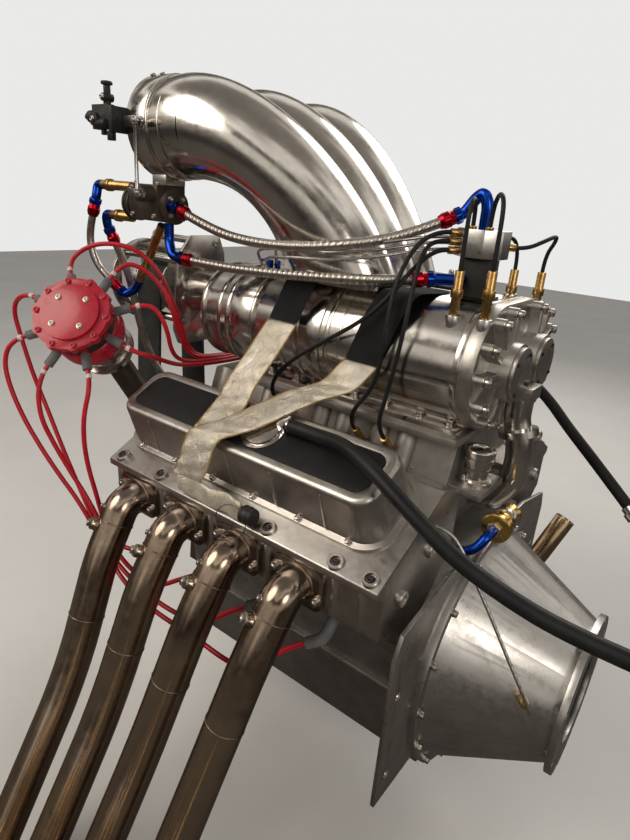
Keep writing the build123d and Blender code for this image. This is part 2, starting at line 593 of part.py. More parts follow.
# Throttle body with three bores
throttle_body = None
for k in (-1, 0, 1):
    ring = disc(THROTTLE_FRONT, ELBOW_FRONT, k * BARREL_PITCH, MOUTH_Z, BARREL_R + 4)
    throttle_body = ring if throttle_body is None else throttle_body + ring
for k in (-1, 0, 1):
    throttle_body -= disc(THROTTLE_FRONT - 1, ELBOW_FRONT + 1, k * BARREL_PITCH, MOUTH_Z, BORE_R)
shaft_start, shaft_end = LEVER_Y - 3, BARREL_PITCH + BARREL_R + 12
throttle_body -= rod((SHAFT_X, -260, MOUTH_Z), (SHAFT_X, 260, MOUTH_Z), SHAFT_R + RUN_FIT)
save("throttle_body", throttle_body)

# Throttle shaft with its blades and lever
shaft = rod((SHAFT_X, shaft_start, MOUTH_Z), (SHAFT_X, shaft_end, MOUTH_Z), SHAFT_R)
for k in (-1, 0, 1):
    shaft += disc(SHAFT_X - BLADE_T / 2, SHAFT_X + BLADE_T / 2, k * BARREL_PITCH, MOUTH_Z, BLADE_R)
shaft += block_between(SHAFT_X - 9, SHAFT_X + ARM, LEVER_Y - 3, LEVER_Y + 3, MOUTH_Z - 8, MOUTH_Z + 8)
shaft += rod((SHAFT_X + ARM, LEVER_Y + 3, MOUTH_Z), (SHAFT_X + ARM, LEVER_Y - 3, MOUTH_Z), 8)
shaft += rod((SHAFT_X + ARM, LEVER_Y - 3, MOUTH_Z), (SHAFT_X + ARM, LINK_Y - 5, MOUTH_Z), PIN_R)
save("throttle_shaft", shaft)

# Link rod from the throttle lever down to the barrel valve's lever
link = rod((SHAFT_X + ARM, LINK_Y, SPINDLE_Z + 6), (SHAFT_X + ARM, LINK_Y, MOUTH_Z - 6), 3)
for z in (SPINDLE_Z, MOUTH_Z):
    link += rod((SHAFT_X + ARM, LINK_Y - 3, z), (SHAFT_X + ARM, LINK_Y + 3, z), 7)
for z in (SPINDLE_Z, MOUTH_Z):
    link -= rod((SHAFT_X + ARM, LINK_Y - 4, z), (SHAFT_X + ARM, LINK_Y + 4, z), PIN_R + RUN_FIT)
save("link_rod", link)

# Barrel valve under the near throttle bore, with its lever
vx, vy, vz = VALVE
valve = rod((vx - 58, vy, vz), (vx + 58, vy, vz), 27)
valve += block_between(vx - 30, vx + 45, vy - 30, vy + 30, vz - 24, vz + 34)
valve += rod((SHAFT_X, vy, SPINDLE_Z), (SHAFT_X, VALVE_FACE_Y, SPINDLE_Z), 13)
spindle_bore = rod((SHAFT_X, VALVE_FACE_Y + 22, SPINDLE_Z), (SHAFT_X, VALVE_FACE_Y - 1, SPINDLE_Z),
                   SPINDLE_R + RUN_FIT)
valve -= spindle_bore
hang_low, hang_high = vz + 34, MOUTH_Z - sqrt((BARREL_R + 4) ** 2 - 35 ** 2) + 4
valve_bracket = block_between(SHAFT_X - 18, SHAFT_X + 18, vy - 12, vy + 30, hang_low, hang_high + 8)
valve_bracket -= disc(SHAFT_X - 20, SHAFT_X + 20, -BARREL_PITCH, MOUTH_Z, BARREL_R + 4 + SEAT)
save("barrel_valve", valve)
save("valve_bracket", valve_bracket)
barrel_lever = rod((SHAFT_X, VALVE_FACE_Y + 20, SPINDLE_Z), (SHAFT_X, LEVER_Y - 3, SPINDLE_Z), SPINDLE_R)
barrel_lever += block_between(SHAFT_X - 7, SHAFT_X + ARM, LEVER_Y - 3, LEVER_Y + 3,
                              SPINDLE_Z - 7, SPINDLE_Z + 7)
barrel_lever += rod((SHAFT_X + ARM, LEVER_Y + 3, SPINDLE_Z), (SHAFT_X + ARM, LEVER_Y - 3, SPINDLE_Z), 7)
barrel_lever += rod((SHAFT_X + ARM, LEVER_Y - 3, SPINDLE_Z), (SHAFT_X + ARM, LINK_Y - 5, SPINDLE_Z), PIN_R)
save("barrel_lever", barrel_lever)

# Cable bracket in front of the near throttle bore
cable_bracket = block_between(THROTTLE_FRONT - 8, THROTTLE_FRONT, -255, -220, 788, 826)
cable_bracket += block_between(-690, THROTTLE_FRONT - 8, -255, -243, 792, 828)
cable_bracket += rod((-678, -262, 806), (-678, -228, 806), 10)
cable_bracket += rod((-658, -256, 838), (-658, -238, 838), 6)
cable_bracket += block_between(-662, -654, -252, -243, 826, 838)
save("cable_bracket", cable_bracket)

# Distribution block: eight flats, on a bracket that stands on the blower
block_x, block_y = BLOCK_AT
octagon = RegularPolygon(BLOCK_FLAT, 8, major_radius=False, rotation=22.5)
dist_block = Pos(block_x, block_y, BLOCK_Z[0]) * extrude(octagon, amount=BLOCK_Z[1] - BLOCK_Z[0])
save("distribution_block", dist_block)
case_top = ROTOR_Z + CASE_R
bracket = block_between(block_x - 28, block_x + 28, -51, -14, case_top, case_top + 5)
bracket += block_between(block_x - 22, block_x + 22, -60, -20, case_top + 5, BLOCK_Z[0])
save("block_bracket", bracket)

# Brass: check valves, the return's long valve, nozzles and the block's stubs
brass = []
for z, x_end in ((vz + 27, -790), (vz - 25, -765)):
    check = rod((-702 - SEAT, vy - 4, z), (x_end, vy - 4, z), 8.5)
    brass.append(check + rod((x_end + 26, vy - 4, z), (x_end + 14, vy - 4, z), 11))
return_top, return_foot = (-630, -166, 648), (-720, -150, 539)
brass.append(rod(return_top, return_foot, 8))
for x, y, top in NOZZLES:
    nozzle = rod((x, y, 560), (x, y, top), 6.5) + rod((x, y, top - 36), (x, y, top - 24), 8.5)
    nozzle -= stadium(CASE_FRONT, CASE_REAR, CASE_R + SEAT)
    nozzle -= stadium(CASE_REAR, CASE_REAR + END_T, CASE_R + 2 + SEAT)
    brass.append(nozzle)
port_shift = Pos(0, -SEAT, 0) * manifold
for x in PORT_NOZZLE_X:
    nozzle = rod((x, -108, 345), (x, -150, 386), 6) - port_shift
    brass.append(nozzle)
for x, y in ((-92, -64), (-68, -62)):
    brass.append(rod((x, y, BLOCK_Z[1]), (x, y, STUB_TOP), STUB_R))
# direction in degrees and height of each stub on the block's flats
for angle, z in ((225, 659), (225, 671), (225, 683), (90, 668), (45, 668)):
    out = Vector(cos(radians(angle)), sin(radians(angle)), 0)
    centre = Vector(block_x, block_y, z)
    brass.append(rod(centre + out * BLOCK_FLAT, centre + out * STUB_REACH, STUB_R))

line_out = Vector((BELL_R - BELL_REAR_R) / (BELL_LENGTH - 2 * BELL_FLANGE_T), -0.93, 0.368).normalized()
line_seat = Vector(130, -133.55, 52.85)
line_foot = line_seat + line_out * 20
brass.append(rod(line_seat + line_out * SEAT, line_foot, 7))
save("brass_fittings", Compound(brass))

# Blue elbows and red collars on the fuel hoses' ends
elbows = []
collars = []


def hose_end(points, onward):
    """A collar on the last end of a hose, and the elbow that goes on from it."""
    end = Vector(*points[-1])
    way = (end - Vector(*points[-2])).normalized()
    nut = end + way * COLLAR_LENGTH
    collars.append(rod(end, nut, COLLAR_R))
    elbow = tube([nut, nut + way * 14] + [Vector(*p) for p in onward], ELBOW_R)
    elbows.append(elbow + rod(nut, nut + way * 8, COLLAR_R))


# Braided fuel hoses
upper = [(-540, -186, 672), (-470, -190, 652), (-388, -191, 643), (-300, -184, 645), (-232, -150, 656),
         (-180, -94, 672), (-143, -62, 694)]
lower = [(-540, -176, 598), (-470, -174, 596), (-380, -172, 599), (-290, -168, 604), (-215, -158, 610),
         (-178, -140, 613), (-150, -112, 616)]
returning = [(-818, -182, 652), (-826.7, -184, 625.4), (-827.7, -184.5, 597.4), (-821, -182, 570),
             (-806, -176, 546.5), (-784.7, -168, 528.5)]
feed = [(-783, -158, 602), (-779, -140, 560), (-778, -126, 508), (-776, -116, 452), (-770, -102, 392),
        (-756, -80, 332), (-734, -54, 282), (-708, -32, 244)]
for name, points in (("fuel_hose_upper", upper), ("fuel_hose_lower", lower), ("return_hose", returning),
                     ("feed_hose", feed)):
    save(name, cord(name, points, RETURN_HOSE_D if name == "return_hose" else HOSE_D))
hose_end(upper, [(-105, -38, 730), (-93, -39.5, 738), (-85, -40, 722), (-85, -40, BLOCK_Z[1])])
hose_end(upper[::-1], [(vx + 58 + SEAT, -184, 681.9)])
hose_end(lower, [(-98, -78, 620), (-98, -60, 620)])
hose_end(lower[::-1], [(-590, -177, 602), (-605, -171, 622), (-605, -171, 681 - 27 - SEAT)])
hose_end(returning[::-1], [(-808, -174, 708), (-790 - SEAT, -174, 708)])
return_way = (Vector(*return_foot) - Vector(*return_top)).normalized()
return_end = Vector(*return_foot) + return_way * SEAT
hose_end(returning, [return_end + return_way * 24, return_end])
hose_end(feed[::-1], [(-787, -174, 656), (-765 - SEAT, -174, 656)])
hose_end(feed, [(-660, 0, 205), (-660, 0, PUMP_TOP)])
filter_route = [(39, -132, 295), (39, -150, 295), (30, -164, 276), (8, -165, 262), (HEAD_REAR, -165, 262)]
elbows.append(tube(filter_route, 7))
save("hose_fittings", Compound(elbows))
save("hose_collars", Compound(collars))

# Fuel pump on the front cover
pump_rear = cover_front - 8
pump = disc(-690, pump_rear, 0, 128, 42) + disc(-696, -690, 0, 128, 30)
pump += block_between(-682, -638, -15, 15, 150, PUMP_TOP)
save("fuel_pump", pump)

# Small hoses from the block: arches to the blower's nozzles, and the long ones down to the ports
nozzle_routes = [
    [(-84, 9, 668), (-84, 27, 668), (-83, 50, 680), (-78, 74, 676), (-74, 84, 654), (-74, 84, 631)],
    [(-49.35, -5.35, 668), (-36, 8, 668), (-20, 32, 680), (-14, 62, 688), (-22, 88, 678), (-36, 100, 656),
     (-36, 100, 631)],
]
for (x, y), (nx, ny, top) in (((-92, -64), NOZZLES[0]), ((-68, -62), NOZZLES[1])):
    start, foot = Vector(x, y, STUB_TOP), Vector(nx, ny, top)
    across = Vector(nx - x, ny - y, 0)
    arch_r = across.length / 2
    corners = [start + across * share + Vector(0, 0, rise * arch_r)
               for share, rise in ((0, 0.83), (0.293, 1.42), (0.707, 1.42), (0.97, 0.83))]
    low = Vector(nx, ny, (corners[-1].Z + top) / 2)
    nozzle_routes.append([start] + corners + [low, foot])
save("nozzle_hoses", Compound([cord("nozzle_hoses", points, NOZZLE_HOSE_D) for points in nozzle_routes]))
port_routes = [
    [(-118.65, -74.65, 659), (-130, -86, 659), (-142, -122, 636), (-157, -150, 598), (-186, -164, 560),
     (-238, -164, 524), (-296, -166, 486), (-338, -172, 448), (-350, -175.8, 411.1), (-350, -150.2, 386.2)],
    [(-118.65, -74.65, 683), (-131, -87, 683), (-149, -116, 664), (-155, -148, 614), (-152, -164, 560),
     (-152, -167, 508), (-160, -168, 462), (-195, -175.8, 411.1), (-195, -150.2, 386.2)],
    [(-118.65, -74.65, 671), (-134, -90, 671), (-136, -117, 655), (-128, -146, 612), (-124, -162, 564),
     (-128, -166, 514), (-135, -170, 460), (-142, -175.8, 411.1), (-142, -150.2, 386.2)],
]
save("port_hoses", Compound([cord("port_hoses", points, PORT_HOSE_D) for points in port_routes]))

# Restraint straps from the blower down over the covers, with their heat sleeves


def band(rows, side, thickness):
    """A flat band through rows of centres and normals."""
    faces = []
    for x, y, z, out, up in rows:
        normal = Vector(0, side * out, up).normalized()
        plane = Plane(origin=(x, side * y, z), x_dir=(1, 0, 0), z_dir=normal.cross(Vector(1, 0, 0)))
        faces.append(plane * Rectangle(BAND_W, thickness))
    return loft(faces, ruled=True)


sleeves = []
straps = []
for side_name, s in SIDES:
    sleeves.append(band(SLEEVE_FRONT, s, SLEEVE_T))
    tail = block_between(-392, -252, s * 327.5, s * 341, 271.5, 306)
    sleeves.append(band(SLEEVE_REAR, s, SLEEVE_T) + tail)
    straps += [band(STRAP_FRONT, s, STRAP_T), band(STRAP_REAR, s, STRAP_T)]
save("strap_sleeves", Compound(sleeves))
save("restraint_straps", Compound(straps))

# Exhaust headers: four tubes a side on port flanges
for side_name, s in SIDES:
    tubes = None
    for px, lean in zip(PORT_X, HEADER_LEAN):
        points = [(px, s * (PORT_FACE_Y + HEADER_FLANGE_T / 2), PORT_Z)]
        points += [(px + lean * share + back, s * out, z) for out, z, share, back in HEADER_RUN]
        pipe = tube(points, HEADER_R)
        tip, before = Vector(*points[-1]), Vector(*points[-2])
        deep = (before - tip).normalized() * 70
        pipe -= rod(tip + (tip - before).normalized() * 2, tip + deep, HEADER_R - HEADER_WALL)
        flange = Plane(origin=(px, s * PORT_FACE_Y, PORT_Z), x_dir=(1, 0, 0), z_dir=(0, s, 0)) * extrude(
            RectangleRounded(92, 62, 14), amount=HEADER_FLANGE_T)
        pipe += flange
        tubes = [pipe] if tubes is None else tubes + [pipe]
    save(f"headers_{side_name}", Compound(tubes))

# Distributor on its stand: cap, body, stand, and the leads' boots
cap_plane = Plane(origin=CAP_CENTRE, z_dir=CAP_AXIS)
top_align = (Align.CENTER, Align.CENTER, Align.MAX)
cap = cap_plane * Cylinder(DIST_CAP_R - 4, CAP_DEEP[0], align=top_align)
for i in range(RIM_LOBES):
    lobe = Pos(DIST_CAP_R - 9, 0, 0) * Cylinder(9, CAP_DEEP[0], align=top_align)
    cap += cap_plane * Rot(0, 0, 360 * i / RIM_LOBES) * lobe
cap += cap_plane * Cylinder(50, 7, align=(Align.CENTER, Align.CENTER, Align.MIN))
cap += cap_plane.offset(-CAP_DEEP[0]) * Cylinder(56, CAP_DEEP[1] - CAP_DEEP[0], align=top_align)
bowl = cap_plane.offset(-CAP_DEEP[1]) * Cylinder(62, CAP_DEEP[2] - CAP_DEEP[1], align=top_align)
bowl = fillet(bowl.edges().filter_by(GeomType.CIRCLE), 9)
cap += bowl
across_u = Vector(-0.854, -0.520, 0).normalized()
across_v = CAP_AXIS.cross(across_u)
boots = []
lead_ends = []
for i in range(LEADS):
    a = radians(22.5 + 45 * i)
    out = across_u * cos(a) + across_v * sin(a)
    tower = CAP_CENTRE - CAP_AXIS * TOWER_DEEP
    cap += rod(tower + out * 50, tower + out * TOWER_R, 6)
    end = tower + out * BOOT_R
    boots.append(rod(tower + out * TOWER_R, end, 8))
    lead_ends.append((end, end + out * LEAD_RUN))
save("distributor_cap", cap)
bell = cap_plane.offset(-CAP_DEEP[2]) * Cylinder(45, CAP_DEEP[3] - CAP_DEEP[2], align=top_align)
bell += cap_plane.offset(-CAP_DEEP[3] + 8) * Cylinder(52, 8, align=top_align)
save("distributor_body", bell)
base = cap_plane.offset(-CAP_DEEP[3]) * Cylinder(32, CAP_DEEP[4] - CAP_DEEP[3], align=top_align)
foot = CAP_CENTRE - CAP_AXIS * 182
base += rod(foot, (cover_front - 22, -96, 140), 24)
base += block_between(cover_front - 34, cover_front, -122, -66, 104, 170)
save("distributor_drive", base)

# Spark plug boots on the heads, and the leads
plug_ends = {}
for side_name, s in SIDES:
    bend = Vector(BOOT_WAY[0], s * BOOT_WAY[1], BOOT_WAY[2])
    plug_axis = Vector(0, s * PLUG_OUT, -PLUG_DOWN)
    for x in PLUG_X:
        seat_point = Vector(x, s * PLUG_SEAT[0], PLUG_SEAT[1])
        knee = seat_point + plug_axis * BOOT_RUNS[0]
        end = knee + bend * BOOT_RUNS[1]
        boots.append(tube([seat_point + plug_axis * SEAT, knee, end], 9))
        plug_ends[s, x] = [end + bend * BOOT_RUNS[2], end]
save("lead_boots", Compound(boots))
for (side_name, s), starts, routes in zip(SIDES, (START_LEFT, START_RIGHT), (LEADS_LEFT, LEADS_RIGHT)):
    leads = []
    for x, start, points in zip(PLUG_X, starts, routes):
        whole = [*lead_ends[start], *points, *plug_ends[s, x]]
        leads.append(cord(f"spark_leads_{side_name}", whole, LEAD_D))
    save(f"spark_leads_{side_name}", Compound(leads))

# Breather hoses from the covers to their disconnect fittings behind the engine
left_hose = [(-122, -282, 419), (-62, -304, 408), (0, -318, 382), (60, -321, 352), (120, -320, 334),
             (185, -319, 323), (250, -318, 324)]
right_hose = [(-120, 276, 417), (-66, 280, 408), (-22, 276, 378), (20, 264, 343), (86, 238, 300),
              (160, 214, 246)]
ends = []
for (side_name, s), points in zip(SIDES, (left_hose, right_hose)):
    points = [(NIPPLE_X[2], *mouths[s]), (NIPPLE_X[2] + 50, *mouths[s])] + points
    save(f"breather_hose_{side_name}", cord(f"breather_hose_{side_name}", points, BREATHER_HOSE_D))
    end = Vector(*points[-1])
    way = (end - Vector(*points[-2])).normalized()
    ends.append(rod(end, end + way * 42, 13) + rod(end + way * 10, end + way * 24, 16))
save("hose_ends", Compound(ends))

# Pressure line from the head down to the bellhousing
line = [(HEAD_REAR, -186, 300), (0, -186, 300), (22, -187, 280), (44, -185, 244), (76, -184, 198),
        (106, -184, 152), (138, -184, 106), line_foot + line_out * 30, line_foot]
save("pressure_line", cord("pressure_line", line, LINE_D))

# Vent pipe from the rear cover down behind the manifold
vent_route = [(0, 0, 456), (0, 0, 425), (15, 0, 375), (15, 0, 318), (-14, 0, 276), (MANIFOLD_REAR, 0, 276)]
vent = tube(vent_route, 20)
vent += rod((6, 0, 405), (9, 0, 395), 30)
save("vent_tube", vent)

# Fuel filter behind the left head
filter_y = (-124.0, -116.0, -62.0, -50.0)
fuel_filter = rod((39, filter_y[1], 295), (39, filter_y[2], 295), 17)
fuel_filter += rod((39, filter_y[0], 295), (39, filter_y[1], 295), 22)
fuel_filter += rod((39, -132, 295), (39, filter_y[0], 295), 9)
fuel_filter += rod((39, filter_y[2], 295), (39, filter_y[3], 295), 9)
save("fuel_filter", fuel_filter)
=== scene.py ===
"""Supercharged V8 drag racing engine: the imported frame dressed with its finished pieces.

Lengths in the tables are millimetres, as in the part's source, and become metres through MM.
+X points to the rear of the car, -Y to the engine's left bank and +Z up.
"""

import logging
from dataclasses import dataclass, field
from enum import Enum
from math import cos, pi, radians, sin
from typing import Iterable, Sequence

import bpy
from mathutils import Matrix, Vector

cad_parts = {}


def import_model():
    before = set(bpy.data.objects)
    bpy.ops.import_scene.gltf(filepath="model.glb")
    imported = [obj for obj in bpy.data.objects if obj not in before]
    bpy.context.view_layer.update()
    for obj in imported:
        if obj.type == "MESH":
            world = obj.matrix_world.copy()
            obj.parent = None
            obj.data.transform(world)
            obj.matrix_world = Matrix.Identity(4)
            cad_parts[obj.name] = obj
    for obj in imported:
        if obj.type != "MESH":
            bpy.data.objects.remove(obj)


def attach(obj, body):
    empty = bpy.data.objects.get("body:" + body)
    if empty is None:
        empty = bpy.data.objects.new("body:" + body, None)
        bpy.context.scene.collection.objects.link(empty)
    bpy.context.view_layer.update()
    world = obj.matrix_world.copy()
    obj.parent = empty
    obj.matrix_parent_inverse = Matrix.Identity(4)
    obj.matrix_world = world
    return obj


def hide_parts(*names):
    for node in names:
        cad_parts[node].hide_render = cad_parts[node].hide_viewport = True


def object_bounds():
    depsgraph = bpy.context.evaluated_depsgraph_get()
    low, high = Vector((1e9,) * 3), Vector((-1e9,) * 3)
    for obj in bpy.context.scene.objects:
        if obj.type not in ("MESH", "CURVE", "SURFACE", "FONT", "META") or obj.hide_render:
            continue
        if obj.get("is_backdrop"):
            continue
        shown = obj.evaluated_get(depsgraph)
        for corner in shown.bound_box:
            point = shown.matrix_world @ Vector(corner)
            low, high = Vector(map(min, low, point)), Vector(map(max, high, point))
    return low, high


LOG = logging.getLogger("engine")
MM = 0.001
SIDES = (("left", -1), ("right", 1))
BOTH = (-1, 1)
BANK_TILT = radians(28)
MERGE = 0.00002
NEARLY_FLAT = radians(1.0)
SMOOTH = radians(32)
PIPE_SMOOTH = radians(50)
BEAD_SMOOTH = radians(60)
CLOTH_SMOOTH = radians(70)
REARWARD = (1, 0, 0)
FORWARD = (-1, 0, 0)
UP = (0, 0, 1)
DOWN = (0, 0, -1)

Triple = tuple[float, float, float]
Colour = tuple[float, float, float]
Profile = tuple[tuple[float, float], ...]
Route = tuple[Triple, ...]
Rows = tuple[tuple[float, float, float, float, float], ...]
Place = tuple[Sequence[float], Sequence[float]]
Object = bpy.types.Object
Socket = bpy.types.NodeSocket


class Body(Enum):
    """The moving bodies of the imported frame."""

    ENGINE = "engine"
    CRANK = "crank"
    BLOWER = "blower_drive"
    THROTTLE = "throttle"
    LINK = "link"
    METERING = "metering_lever"


class Pattern(Enum):
    """What the fine relief of a finish looks like."""

    GRAIN = "fine sand-cast or moulded grain"
    BRUSHED = "fine lines along one direction"
    TURNED = "lathe rings about the X axis"
    WEAVE = "crossed threads on the piece's own UV map"
    CREASED = "crumpled foil-faced cloth"


@dataclass(frozen=True)
class Finish:
    """A surface finish: two shades that drift over the surface, its gloss and its fine relief.

    Attributes:
        name: the material's name.
        slot: the record's material slot; not used.
        colour: the main shade.
        drift: the shade of worn or stained places; on a braid, the painted shade between its strands.
        metallic: 1 for bare metal, 0 for plastic, rubber or cloth.
        rough: lowest and highest roughness.
        pattern: the kind of fine relief.
        scale: grains or lines per metre.
        relief: height of the relief in metres.
        patch: how many patches of the second shade there are per metre.
        coat: weight of a clear coat.
        sheen: weight of a cloth's sheen.
        contrast: where the second shade starts, from 0, everywhere, to 1, nowhere.
        specular: how strongly a surface that isn't metal mirrors.
    """

    name: str
    slot: str
    colour: Colour
    drift: Colour
    metallic: float = 1.0
    rough: tuple[float, float] = (0.2, 0.35)
    pattern: Pattern = Pattern.GRAIN
    scale: float = 900.0
    relief: float = 0.00012
    patch: float = 22.0
    coat: float = 0.0
    sheen: float = 0.0
    contrast: float = 0.45
    specular: float = 0.5

    @property
    def label(self) -> str:
        """The material's name, which no plain CAD material bears."""
        return f"{self.name}_finish"

    def material(self) -> bpy.types.Material:
        """Makes the node material, or returns the one made before.

        Returns:
            The finish as a Blender material.
        """
        made = bpy.data.materials.get(self.label)
        if made is not None:
            return made
        made = bpy.data.materials.new(self.label)
        made.use_nodes = True
        made.diffuse_color = (*self.colour, 1.0)
        tree = Tree(made.node_tree)
        shader = tree.shader()
        place = tree.place(self.pattern is Pattern.WEAVE)
        patches = tree.noise(tree.place(False), self.patch, 5.0, 0.62)
        tree.link(tree.ramp(patches, [(self.contrast - 0.12, self.colour),
                                      (self.contrast + 0.3, self.drift)]),
                  shader.inputs["Base Color"])
        smudge = tree.noise(tree.place(False), self.patch * 4.5, 6.0, 0.7)
        tree.link(tree.remap(smudge, 0.3, 0.7, *self.rough), shader.inputs["Roughness"])
        shader.inputs["Metallic"].default_value = self.metallic
        shader.inputs["Specular IOR Level"].default_value = self.specular
        shader.inputs["Coat Weight"].default_value = self.coat
        shader.inputs["Coat Roughness"].default_value = 0.12
        shader.inputs["Sheen Weight"].default_value = self.sheen
        tree.link(tree.bump(self._height(tree, place), self.relief), shader.inputs["Normal"])
        self._tint(tree, shader)
        return made

    def _tint(self, tree: "Tree", shader: bpy.types.Node) -> None:
        """Gives the shader another colour than the two drifting shades, where a kind of finish has one."""

    def _height(self, tree: "Tree", place: Socket) -> Socket:
        """The relief's height, as a socket.

        Args:
            tree: the material's nodes.
            place: where on the piece.

        Returns:
            The socket that carries the height.
        """
        if self.pattern is Pattern.BRUSHED:
            return tree.noise(tree.stretch(place, (0.05, 1.0, 1.0)), self.scale, 3.0, 0.6)
        if self.pattern is Pattern.TURNED:
            return tree.noise(tree.stretch(place, (1.0, 0.06, 0.06)), self.scale, 3.0, 0.6)
        if self.pattern is Pattern.WEAVE:
            return tree.weave(place, self.scale, self.scale)
        if self.pattern is Pattern.CREASED:
            return tree.noise(tree.stretch(place, (1.0, 0.55, 0.55)), self.scale, 8.0, 0.68, 1.6)
        return tree.noise(place, self.scale, 4.0, 0.65)


@dataclass(frozen=True)
class HeatTint(Finish):
    """Bare steel tinted by heat: bands of straw and bronze from the port outwards.

    Attributes:
        bands: where each shade lies, in metres out from the middle plane plus the cloud's, and the shade.
        cloud_scale: how many clouds there are per metre.
        cloud_share: how many metres a cloud can shift the bands.
    """

    bands: tuple[tuple[float, Colour], ...] = (
        (0.44, (0.44, 0.38, 0.33)), (0.52, (0.28, 0.21, 0.16)), (0.58, (0.52, 0.42, 0.31)),
        (0.68, (0.40, 0.32, 0.26)), (0.8, (0.56, 0.43, 0.28)), (0.9, (0.42, 0.31, 0.2)),
        (1.0, (0.58, 0.43, 0.25)))
    cloud_scale: float = 9.0
    cloud_share: float = 0.26

    def _tint(self, tree: "Tree", shader: bpy.types.Node) -> None:
        """Lays the bands of heat over the steel; see Finish._tint."""
        outward = tree.outward()
        cloud = tree.noise(tree.place(False), self.cloud_scale, 5.0, 0.65)
        mixed = tree.maths("ADD", outward, tree.maths("MULTIPLY", cloud, self.cloud_share))
        tree.link(tree.ramp(mixed, self.bands), shader.inputs["Base Color"])


@dataclass(frozen=True)
class Braid(Finish):
    """Woven steel wire over a hose, laid out along the piece's own UV map, with painted shade between its
    strands.

    Attributes:
        length: the hose's length, in metres.
        diameter: its diameter, in metres.
        strands: how many strands lie round it.
    """

    length: float = 0.4
    diameter: float = 0.015
    strands: int = 14

    def _height(self, tree: "Tree", place: Socket) -> Socket:
        """Crossed strands; see Finish._height."""
        pitch = pi * self.diameter / self.strands
        return tree.weave(place, self.length / pitch, self.strands)

    def _tint(self, tree: "Tree", shader: bpy.types.Node) -> None:
        """Paints shade into the braid between its strands; see Finish._tint."""
        # The second shade is painted shade in the grooves between the strands, set by the weave's height.
        height = self._height(tree, tree.place(True))
        tree.link(tree.ramp(height, [(0.1, self.drift), (0.62, self.colour)]), shader.inputs["Base Color"])


